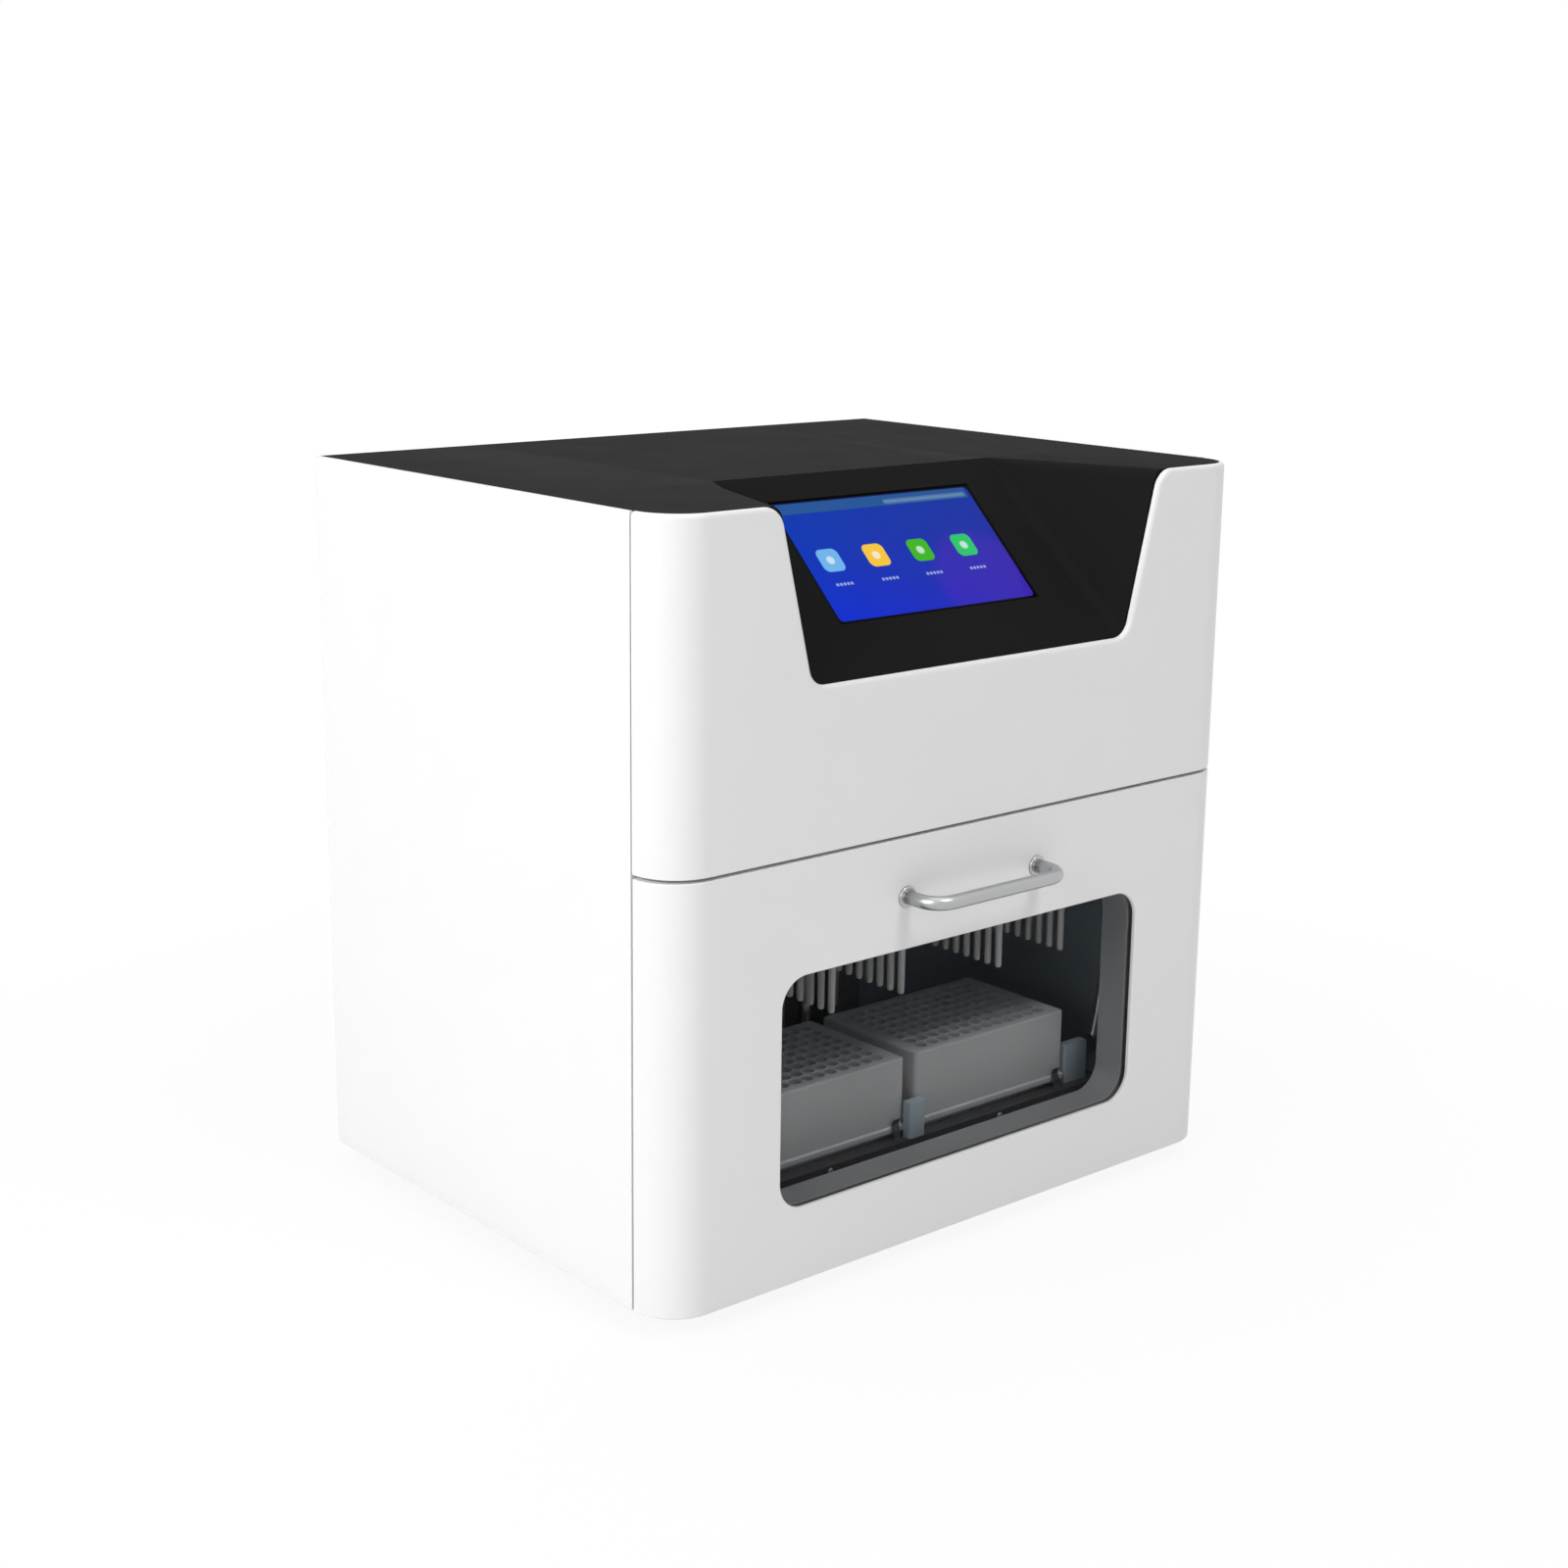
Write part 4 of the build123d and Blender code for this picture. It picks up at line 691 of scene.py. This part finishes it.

# %% [markdown]
# ## The lit picture
# The picture is worked out from the plate's own flat coordinates in millimetres: a blue wash that turns to
# violet at the lower right, a paler status strip along the top with a painted highlight streak over its
# right half, and four plain rounded tiles with dots under each. Every mark is a rounded box laid over what
# is there.

# %% Picture helpers
def maths(tree, operation, first, second=0.0, third=0.0):
    """One arithmetic node; each value is a number or another node's socket."""
    return add(tree, "Math", {0: first, 1: second, 2: third}, operation=operation).outputs[0]


def remap(tree, value, start, end, to_start=0.0, to_end=1.0):
    """Carries a value from one range to another; beyond its ends it stays at the ends."""
    return add(tree, "MapRange", {"Value": value, "From Min": start, "From Max": end,
                                  "To Min": to_start, "To Max": to_end}).outputs[0]


def distance(tree, across, up):
    """Square root of across squared plus up squared."""
    squares = [maths(tree, "POWER", value, 2.0) for value in (across, up)]
    return maths(tree, "SQRT", maths(tree, "ADD", *squares))


def box_mask(tree, x, y, middle, half, corner, blur=0.3):
    """1 inside a rounded rectangle and 0 outside, from the distance to its inner core."""
    beyond = []
    for value, centre, size in zip((x, y), middle, half):
        away = maths(tree, "ABSOLUTE", maths(tree, "SUBTRACT", value, centre))
        beyond.append(maths(tree, "MAXIMUM", maths(tree, "SUBTRACT", away, size - corner), 0.0))
    return remap(tree, distance(tree, *beyond), corner - blur, corner + blur, 1.0, 0.0)


def lay_over(tree, picture, mask, colour, strength=1.0):
    """The picture with a hex colour over it where the mask is 1, at a strength."""
    share = maths(tree, "MULTIPLY", mask, strength)
    mix = {"Factor": share, "A": picture, "B": hex_colour(colour)}
    return add(tree, "Mix", mix, data_type="RGBA").outputs["Result"]


# %% Lit display
# Each mark has its middle, half size, corner radius and blur in millimetres, its strength and its colour.
TILES = ((-56.0, "#6FB4EA"), (-22.5, "#F5C63C"), (11.0, "#3FB51F"), (45.0, "#2FC46C"))
DOT_UP, DOT_STEP = -16.5, 2.6
MARKS = [((0, 36.5), (SCREEN_W / 2 - 4, 3.6), 0.8, 0.3, 0.7, "#2A5E8C"),
         # The first mark is the status strip. The second is a painted highlight: a soft pale streak over
         # the strip's right half that stands for a glint on the glass.
         ((SCREEN_W / 4, 35.5), (SCREEN_W / 4 - 6, 1.2), 1.2, 1.1, 0.35, "#9CC4E0")]
for tile_x, colour in TILES:
    MARKS += [((tile_x, 0), (7.7, 7.7), 3.9, 0.3, 1.0, colour),
              ((tile_x, 0), (2.6, 2.6), 2.4, 0.5, 0.6, "#F4F8FC")]
    MARKS += [((tile_x + step * DOT_STEP, DOT_UP), (0.9, 0.9), 0.5, 0.3, 0.6, "#BFD0F5")
              for step in (-2, -1, 0, 1, 2)]
DISC_AT, DISC_FULL, DISC_END, DISC_SHARE = (48.0, -30.0), 33.0, 43.0, 0.45
GLOW_SCALE = 0.03
BORDER, BORDER_R = 1.6, 3.0
DISPLAY_LEVEL = 1.0


def colour_wash(tree, x, y, place):
    """The ground: blue that turns to violet at the lower right, with a soft disc and slow clouds."""
    across = remap(tree, x, -SCREEN_W / 2, SCREEN_W / 2)
    down = remap(tree, y, SCREEN_H / 2, -SCREEN_H / 2)
    picture = lay_over(tree, hex_colour("#0134AC"), across, "#10309C")
    low_right = maths(tree, "POWER", maths(tree, "MULTIPLY", across, down), 0.9)
    picture = lay_over(tree, picture, low_right, "#2A20A0")
    apart = [maths(tree, "SUBTRACT", value, middle) for value, middle in zip((x, y), DISC_AT)]
    disc = remap(tree, distance(tree, *apart), DISC_FULL, DISC_END, DISC_SHARE, 0.0)
    picture = lay_over(tree, picture, disc, "#4A1FB4")
    leftward, low = maths(tree, "SUBTRACT", 1.0, across), maths(tree, "POWER", down, 2.0)
    low_left = maths(tree, "MULTIPLY", leftward, low)
    picture = lay_over(tree, picture, low_left, "#0A18E6", 0.6)
    clouds = add(tree, "TexNoise", {"Vector": place, "Scale": GLOW_SCALE, "Detail": 2.0}).outputs[0]
    return lay_over(tree, picture, clouds, "#0C5FD8", 0.1)


def display_material():
    """A lit display under smooth glass: the picture is emitted, and the glass adds its own gloss."""
    material = bpy.data.materials.new("lit_display_under_glass")
    tree = fresh_tree(material)
    flat = add(tree, "UVMap", uv_map="panel_mm").outputs[0]
    x, y = add(tree, "SeparateXYZ", {0: flat}).outputs[:2]
    picture = colour_wash(tree, x, y, flat)
    for middle, half, corner, blur, strength, colour in MARKS:
        mask = box_mask(tree, x, y, middle, half, corner, blur)
        picture = lay_over(tree, picture, mask, colour, strength)
    live = box_mask(tree, x, y, (0, 0), (SCREEN_W / 2 - BORDER, SCREEN_H / 2 - BORDER), BORDER_R)
    picture = lay_over(tree, picture, maths(tree, "SUBTRACT", 1.0, live), "#020203")
    shader = add(tree, "BsdfPrincipled", {
        "Base Color": hex_colour("#050506"), "Roughness": 0.08, "Specular IOR Level": 0.03,
        "Emission Color": picture, "Emission Strength": DISPLAY_LEVEL})
    add(tree, "OutputMaterial", {"Surface": shader.outputs[0]})
    return material


screen = loft("screen_glass", np.stack(glass_loops), display_material())
flat_map = screen.data.uv_layers.new(name="panel_mm")
corner_index = np.empty(len(screen.data.loops), int)
screen.data.loops.foreach_get("vertex_index", corner_index)
place = np.empty(len(screen.data.vertices) * 3)
screen.data.vertices.foreach_get("co", place)
place = place.reshape(-1, 3)[corner_index] / MM - housing((0, SHELL, RECESS_LOW))
up_slant = place[:, 1] * np.cos(SLANT) + place[:, 2] * np.sin(SLANT) - SCREEN_UP
on_panel = np.column_stack((place[:, 0], up_slant))
flat_map.data.foreach_set("uv", on_panel.astype(np.float32).ravel())
stand_for(shade_flat(screen), "touchscreen_glass")
print("screen", len(screen.data.polygons), "faces")

# %% [markdown]
# ## Window, liner and seal
# The pane's edge sits behind the skin. The liner's deep rounded frame is what shows around the view into
# the chamber, so its loops run from the pane back to the liner's rear face.

# %% Window pane and liner
PANE_T, PANE_LAP, TUNNEL_WALL, LINER_Y, LINER_T = 3.0, 6.0, 8.0, 24.5, 2.0
LINER_LOW, LINER_TOP = 10.0, DOOR_TOP - DOOR_FLANGE
pane_y, liner_rear_y = SHELL + PANE_T, LINER_Y + LINER_T
pane = loft("smoked_pane", [housing(facing(window_loop(PANE_LAP), y)) for y in (SHELL, pane_y)], smoke)
stand_for(shade_flat(pane), "window_pane")
tunnel = window_loop(TUNNEL_WALL)
liner_edge = rectangle_around(window, HALF - SHELL, LINER_LOW, LINER_TOP)
liner_loops = [facing(window, pane_y), facing(window, liner_rear_y), facing(liner_edge, liner_rear_y),
               facing(liner_edge, LINER_Y), facing(tunnel, LINER_Y), facing(tunnel, pane_y),
               facing(window, pane_y)]
liner = loft("door_liner_frame", [housing(loop) for loop in liner_loops], liner_coat, caps=(False, False))
soften(liner, 0.8)
stand_for(liner, "door_liner")

# %% [markdown]
# ## Deep-well plates
# Each well is a small cup: a square of the flat top, a round mouth, straight walls and a tapered floor. One
# cup is worked out once and set at 96 places by adding the places to its points.

# %% Deep-well plates
PLATE_W, PLATE_D, PLATE_TOP, PLATE_Z = 127.76, 85.48, 88.0, 44.0
WELL_PITCH, WELL_COLUMNS, WELL_ROWS = 9.0, 12, 8
CELL_R = 0.05
# A well's loops have a half width, corner radius and height over the plate's top; the plate's outside has
# an inset from the footprint, corner radius and height.
WELL_LOOPS = ((WELL_PITCH / 2, CELL_R, 0.0), (4.05, 4.05, 0.0), (3.85, 3.85, -0.4), (3.7, 3.7, -37.0),
              (1.2, 1.2, -41.0))
SKIRT_LOOPS = ((2.4, 2.2, PLATE_TOP), (1.7, 2.4, PLATE_TOP - 0.4), (1.4, 2.5, PLATE_TOP - 1.2),
               (1.4, 2.5, PLATE_Z + 3.6), (0.0, 3.0, PLATE_Z + 2.8), (0.0, 3.0, PLATE_Z))
plate_low, plate_high = box_mm("deep_well_plate_right")
plate_middle = (plate_low + plate_high) / 2 - (0, FRONT, BOTTOM)


def repeat(points, faces, places):
    """Points and faces of one shape set at many places: point i of copy j gets number i + j * count."""
    points, places = np.asarray(points, float), np.asarray(places, float)
    copies = (points[None, :, :] + places[:, None, :]).reshape(-1, 3)
    steps = np.arange(len(places)) * len(points)
    return copies, [tuple(int(corner + step) for corner in face) for step in steps for face in faces]


def cup_shape():
    """One well: loops from the square of flat top around it in to its round mouth and down to its floor."""
    loops = np.stack([upright(rounded_rectangle(half, half, radius, 3), z)
                      for half, radius, z in WELL_LOOPS])
    count, size = loops.shape[:2]
    faces = grid_faces(count, size, wrap=True).tolist()
    faces.append(list(range((count - 1) * size, count * size)))
    return loops.reshape(-1, 3), faces


cup_points, cup_faces = cup_shape()
well_x = (np.arange(WELL_COLUMNS) - (WELL_COLUMNS - 1) / 2) * WELL_PITCH
well_y = (np.arange(WELL_ROWS) - (WELL_ROWS - 1) / 2) * WELL_PITCH
grid_x, grid_y = np.meshgrid(well_x, well_y)
for side, node in ((-1, "deep_well_plate_left"), (1, "deep_well_plate_right")):
    middle = plate_middle * (side, 1, 1)
    places = np.column_stack((grid_x.ravel(), grid_y.ravel(), np.zeros(grid_x.size)))
    points, faces = repeat(cup_points, cup_faces, places + (middle[0], middle[1], PLATE_TOP))
    wells = weld(make_piece("wells", housing(points), faces, plate_plastic), 3 * CELL_R, turn_out=False)
    profile = [(WELL_COLUMNS * WELL_PITCH / 2, WELL_ROWS * WELL_PITCH / 2, CELL_R, PLATE_TOP)]
    profile += [(PLATE_W / 2 - inset, PLATE_D / 2 - inset, radius, z) for inset, radius, z in SKIRT_LOOPS]
    loops = [housing(upright(rounded_rectangle(x, y, radius, 5) + middle[:2], z))
             for x, y, radius, z in profile]
    body = loft("body", loops, plate_plastic, caps=(False, True))
    plate = join(f"plate_with_wells_{node.split('_')[-1]}", [body, wells])
    stand_for(shade_flat(plate), node)
print("plate", len(plate.data.polygons), "faces")

# %% [markdown]
# ## Combs
# A comb is a strip with eight closed sleeves, each open at the top for its magnet. A sleeve is made as the
# wells are: circles up its outside to the strip's underside, and from the strip's top down its bore. Only
# the band round the strip is added, so the comb is one closed skin.

# %% Sleeve and strip loops
RACK_Z, SLEEVE_LOW, COMB_T = 191.0, 123.0, 2.0
STRIP_HALF, STRIP_R, CELL_HALF = (4.2, 39.0), 2.0, (4.0, WELL_PITCH / 2)
comb_low, comb_high = box_mm("tip_combs")
comb_middle_y = (comb_low[1] + comb_high[1]) / 2 - FRONT
first_comb, last_comb = comb_low[0] + STRIP_HALF[0], comb_high[0] - STRIP_HALF[0]
comb_x = (first_comb, first_comb + 6 * WELL_PITCH, last_comb - 6 * WELL_PITCH, last_comb)


def flat_loop(half_x, half_y, radius, z):
    """Sixteen points of a rounded rectangle, or of a circle where all three sizes are the same."""
    return upright(rounded_rectangle(half_x, half_y, radius, 3), z)


# Radius and height of each circle, up the outside and down the bore.
OUTSIDE = ((0.6, SLEEVE_LOW), (1.5, SLEEVE_LOW + 0.15), (1.95, SLEEVE_LOW + 0.9), (2.1, SLEEVE_LOW + 2.5),
           (2.15, RACK_Z - 19), (2.6, RACK_Z - 9), (2.7, RACK_Z - 7), (3.4, RACK_Z - 4),
           (3.4, RACK_Z - COMB_T))
BORE = ((2.4, RACK_Z), (2.0, RACK_Z - 0.6), (1.8, SLEEVE_LOW + 3), (0.6, SLEEVE_LOW + 2))
outside = [flat_loop(r, r, r, z) for r, z in OUTSIDE] + [flat_loop(*CELL_HALF, CELL_R, RACK_Z - COMB_T)]
bore = [flat_loop(*CELL_HALF, CELL_R, RACK_Z)] + [flat_loop(r, r, r, z) for r, z in BORE]
outside, bore = np.stack(outside), np.stack(bore)
loop_size = outside.shape[1]
outside_faces = grid_faces(*outside.shape[:2], wrap=True).tolist() + [list(range(loop_size))[::-1]]
bore_faces = grid_faces(*bore.shape[:2], wrap=True).tolist()
bore_faces.append(list(range((len(bore) - 1) * loop_size, len(bore) * loop_size)))
cells = (CELL_HALF[0], WELL_ROWS * WELL_PITCH / 2, CELL_R)
strip_edge = (*STRIP_HALF, STRIP_R)
band = np.stack([flat_loop(*cells, RACK_Z - COMB_T), flat_loop(*strip_edge, RACK_Z - COMB_T),
                 flat_loop(*strip_edge, RACK_Z), flat_loop(*cells, RACK_Z)])
band_faces = grid_faces(*band.shape[:2], wrap=True).tolist()
print("sleeve loops", len(outside), len(bore))

# %% Sleeve combs
sleeve_places = [(x, comb_middle_y + y, 0) for x in comb_x for y in well_y]
strip_places = [(x, comb_middle_y, 0) for x in comb_x]
comb_pieces = []
for name, loops, faces, places in (("outside", outside, outside_faces, sleeve_places),
                                   ("bore", bore, bore_faces, sleeve_places),
                                   ("band", band, band_faces, strip_places)):
    points, faces = repeat(loops.reshape(-1, 3), faces, places)
    comb_pieces.append(make_piece(name, housing(points), faces, comb_plastic))
combs = weld(join("sleeve_combs", comb_pieces), 3 * CELL_R, turn_out=False)
combs.data.set_sharp_from_angle(angle=np.radians(50))
stand_for(combs, "tip_combs")
print("combs", len(combs.data.polygons), "faces")

# %% [markdown]
# ## Turned and milled parts
# Rods, shafts, feet and the fan come straight from the solids. A copy of each has its loose triangles
# merged, and its edges are kept sharp only where two faces meet at a real corner, so round parts shade
# round.

# %% Smooth copies of the round solids
SAME_POINT, SAME_PLANE = 0.002 * MM, np.radians(0.5)


def smooth_copy(name, node, angle=32):
    """A copy of a solid with its points merged and every edge flatter than an angle shaded smooth."""
    copy = bpy.data.objects.new(name, nodes[node].data.copy())
    bpy.context.scene.collection.objects.link(copy)
    work = bmesh.new()
    work.from_mesh(copy.data)
    bmesh.ops.remove_doubles(work, verts=work.verts, dist=SAME_POINT)
    bmesh.ops.dissolve_limit(work, angle_limit=SAME_PLANE, verts=work.verts, edges=work.edges)
    work.to_mesh(copy.data)
    work.free()
    copy.data.polygons.foreach_set("use_smooth", [True] * len(copy.data.polygons))
    copy.data.set_sharp_from_angle(angle=np.radians(angle))
    return stand_for(copy, node)


ROUND_NODES = ("stay_tube_left", "stay_tube_right", "stay_rod_left", "stay_rod_right", "guide_shafts",
               "lift_lead_screw", "drive_lead_screw", "magnet_lead_screw", "uv_lamp", "rubber_feet",
               "fan_frame", "fan_rotor", "hinge_knuckles", "hinge_brackets", "stay_brackets", "stay_studs",
               "deck_plate", "carriage_plate", "sleeve_rack", "magnet_rack", "plate_clamps",
               "sleeve_bushings", "magnet_bushings")
for node in ROUND_NODES:
    smooth_copy(f"{node}_finished", node)
print("smooth copies", len(ROUND_NODES))

# %% [markdown]
# ## Screws and spring clips
# The rear sheet, the fan and the deck's edge are held by pan-head screws with a cross recess, and a small
# bent spring presses each plate against its stop. One screw is worked out once: circles for the head, then
# the outline of a cross for the recess. All have the same number of points, so they close into one skin.

# %% Pan-head screws
SCREW_SIDES = 24
HEAD_R, HEAD_H, CROSS_REACH, CROSS_HALF, CROSS_DEEP = 3.4, 1.9, 1.6, 0.42, 0.9
HEAD_LOOPS = ((HEAD_R, 0.0), (HEAD_R, 0.7), (HEAD_R * 0.86, HEAD_H * 0.75), (HEAD_R * 0.62, HEAD_H))
CROSS_LOOPS = ((1.0, HEAD_H), (0.8, HEAD_H - CROSS_DEEP))


def cross_outline(reach, half_width, sides):
    """Outline of a plus sign: at an angle t the arm along x ends at min(w / |sin t|, L / |cos t|).

    The arm along z has sin and cos swapped, and the outline is at the larger of the two."""
    turn = np.linspace(0, 2 * np.pi, sides, endpoint=False)
    c, s = np.maximum(np.abs(np.cos(turn)), NEAR), np.maximum(np.abs(np.sin(turn)), NEAR)
    radius = np.maximum(np.minimum(half_width / s, reach / c), np.minimum(half_width / c, reach / s))
    return radius[:, None] * np.column_stack((np.cos(turn), np.sin(turn)))


def screw_heads(name, places, body, side=1, scale=1.0):
    """Screw heads set at places; side is 1 on a face that looks back and -1 on one to the front."""
    loops = [facing(ring(radius, SCREW_SIDES), y) for radius, y in HEAD_LOOPS]
    loops += [facing(cross_outline(CROSS_REACH * narrow, CROSS_HALF * narrow, SCREW_SIDES), y)
              for narrow, y in CROSS_LOOPS]
    loops = np.stack(loops) * (1, side, 1) * scale
    faces = grid_faces(*loops.shape[:2], wrap=True).tolist()
    last = (len(loops) - 1) * SCREW_SIDES
    faces += [list(range(SCREW_SIDES)), list(range(last, last + SCREW_SIDES))]
    points, faces = repeat(loops.reshape(-1, 3), faces, places)
    heads = weld(make_piece(name, housing(points), faces, zinc), 0.001)
    heads.data.set_sharp_from_angle(angle=np.radians(40))
    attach(heads, body)
    return heads


# %% Screws in their places
REAR_EDGE, FAN_HOLE, DECK_EDGE = 7.0, 41.0, 3.5
fan_low, fan_high = box_mm("fan_frame")
deck_low, deck_high = box_mm("deck_plate")
rear_y = box_mm("rear_panel")[1][1] - FRONT
fan_middle = (fan_low + fan_high) / 2
signs = (-1, 1)
rear_places = [(x * (HALF - REAR_EDGE), rear_y, FULL_H * step / 8) for x in signs for step in (1, 3, 5, 7)]
rear_places += [(fan_middle[0] + x * FAN_HOLE, rear_y, fan_middle[2] - BOTTOM + z * FAN_HOLE)
                for x in signs for z in signs]
rear_places += [(x, rear_y, REAR_EDGE) for x in (-140, 0, 140)]
screw_heads("rear_panel_screws", rear_places, "cabinet")
deck_places = [(x, deck_low[1] - FRONT, deck_high[2] - BOTTOM - DECK_EDGE) for x in (-68, 68)]
deck_heads = screw_heads("deck_edge_screws", deck_places, "cabinet", side=-1, scale=0.6)
print("screws", len(rear_places) + len(deck_places), "faces", len(deck_heads.data.polygons))

# %% Spring clips
CLIP_W, CLIP_T, CLIP_IN = 5.0, 0.5, 9.5
CLIP_CORNERS = ((-4.5, 0.0), (-2.4, 0.0), (-2.4, 5.5), (-0.4, 9.0), (-2.0, 12.5))
clip_line = rounded_path(CLIP_CORNERS, (0.8, 3.0, 1.2), 4)
for side, node in (("left", "deep_well_plate_left"), ("right", "deep_well_plate_right")):
    low, high = box_mm(node)
    middle = (high[0] - CLIP_IN, low[1] - FRONT, deck_high[2] - BOTTOM + CLIP_T / 2)
    rows = [np.column_stack((np.full(len(clip_line), x), clip_line)) + middle
            for x in (-CLIP_W / 2, CLIP_W / 2)]
    clip_faces = grid_faces(2, len(clip_line))
    clip = make_piece(f"plate_spring_{side}", housing(np.vstack(rows)), clip_faces, dark_coat)
    soften(thicken(clip, CLIP_T, offset=0.0), 0.15, segments=1)
    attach(clip, "cabinet")
print("spring clips", 2)

# %% [markdown]
# ## Studio
# A plain white floor, a large soft lamp on the left, weaker ones in front and above, and a pale world. The
# world and the floor look white to the camera but light the instrument at a plain level.

# %% World
def seen_directly(tree):
    """1 for a ray from the camera, a reflection or a view through clear plastic, and 0 for plain light."""
    path = add(tree, "LightPath").outputs
    return maths(tree, "MAXIMUM", path["Is Camera Ray"],
                 maths(tree, "MAXIMUM", path["Is Glossy Ray"], path["Is Transmission Ray"]))


WORLD_LEVEL = 0.37
world = bpy.data.worlds.new("studio")
bpy.context.scene.world = world
tree = fresh_tree(world)
level = remap(tree, seen_directly(tree), 0.0, 1.0, WORLD_LEVEL, 1.0)
sky = add(tree, "Background", {"Color": hex_colour("#FFFFFF"), "Strength": level})
add(tree, "OutputWorld", {"Surface": sky.outputs[0]})
print("world level", WORLD_LEVEL)

# %% Floor
# The floor's white is a little grey under the part and plain from FLOOR_FAR metres out.
FLOOR_HALF, FLOOR_NEAR, FLOOR_FAR, FLOOR_SHARE = 30000.0, 0.25, 0.7, 0.9
floor_finish = bpy.data.materials.new("studio_floor")
tree = fresh_tree(floor_finish)
matt = add(tree, "BsdfDiffuse", {"Color": hex_colour("#F2F2F2")})
white = add(tree, "Emission", {"Color": hex_colour("#FFFFFF"), "Strength": 1.0})
spot = add(tree, "TexCoord").outputs["Object"]
away_from_part = add(tree, "VectorMath", {0: spot}, operation="LENGTH").outputs["Value"]
whiter = remap(tree, away_from_part, FLOOR_NEAR, FLOOR_FAR, FLOOR_SHARE, 1.0)
share = maths(tree, "MULTIPLY", seen_directly(tree), whiter)
blend = add(tree, "MixShader", {0: share, 1: matt.outputs[0], 2: white.outputs[0]})
add(tree, "OutputMaterial", {"Surface": blend.outputs[0]})
corners = np.array(((-1, -1, 0), (1, -1, 0), (1, 1, 0), (-1, 1, 0))) * FLOOR_HALF
floor = make_piece("studio_floor", corners, [(0, 1, 2, 3)], floor_finish, smooth=False)
print("floor", 2 * FLOOR_HALF * MM, "m wide")

# %% Lamps
# Each soft box has its place, its aim and its two sizes in metres, then its power in watts.
SOFT_BOXES = (("left_soft_box", (-2.2, -0.2, 1.3), (0, 0, 0.25), (1.8, 1.6), 36),
              ("front_soft_box", (0.2, -1.5, 2.3), (0, 0, 0.2), (0.7, 0.6), 16.5),
              ("top_soft_box", (0.0, 0.6, 2.4), (0, 0, 0.2), (1.6, 1.6), 13))


def area_lamp(name, at, to, size, power):
    """A rectangular lamp at a place, turned to face another place."""
    data = bpy.data.lights.new(name, "AREA")
    data.shape = "RECTANGLE"
    data.size, data.size_y = size
    data.energy = power
    lamp_object = bpy.data.objects.new(name, data)
    bpy.context.scene.collection.objects.link(lamp_object)
    turn = (Vector(to) - Vector(at)).to_track_quat("-Z", "Y").to_matrix().to_4x4()
    lamp_object.matrix_world = Matrix.Translation(Vector(at)) @ turn


for box in SOFT_BOXES:
    area_lamp(*box)
bpy.context.scene.view_settings.view_transform = "Standard"
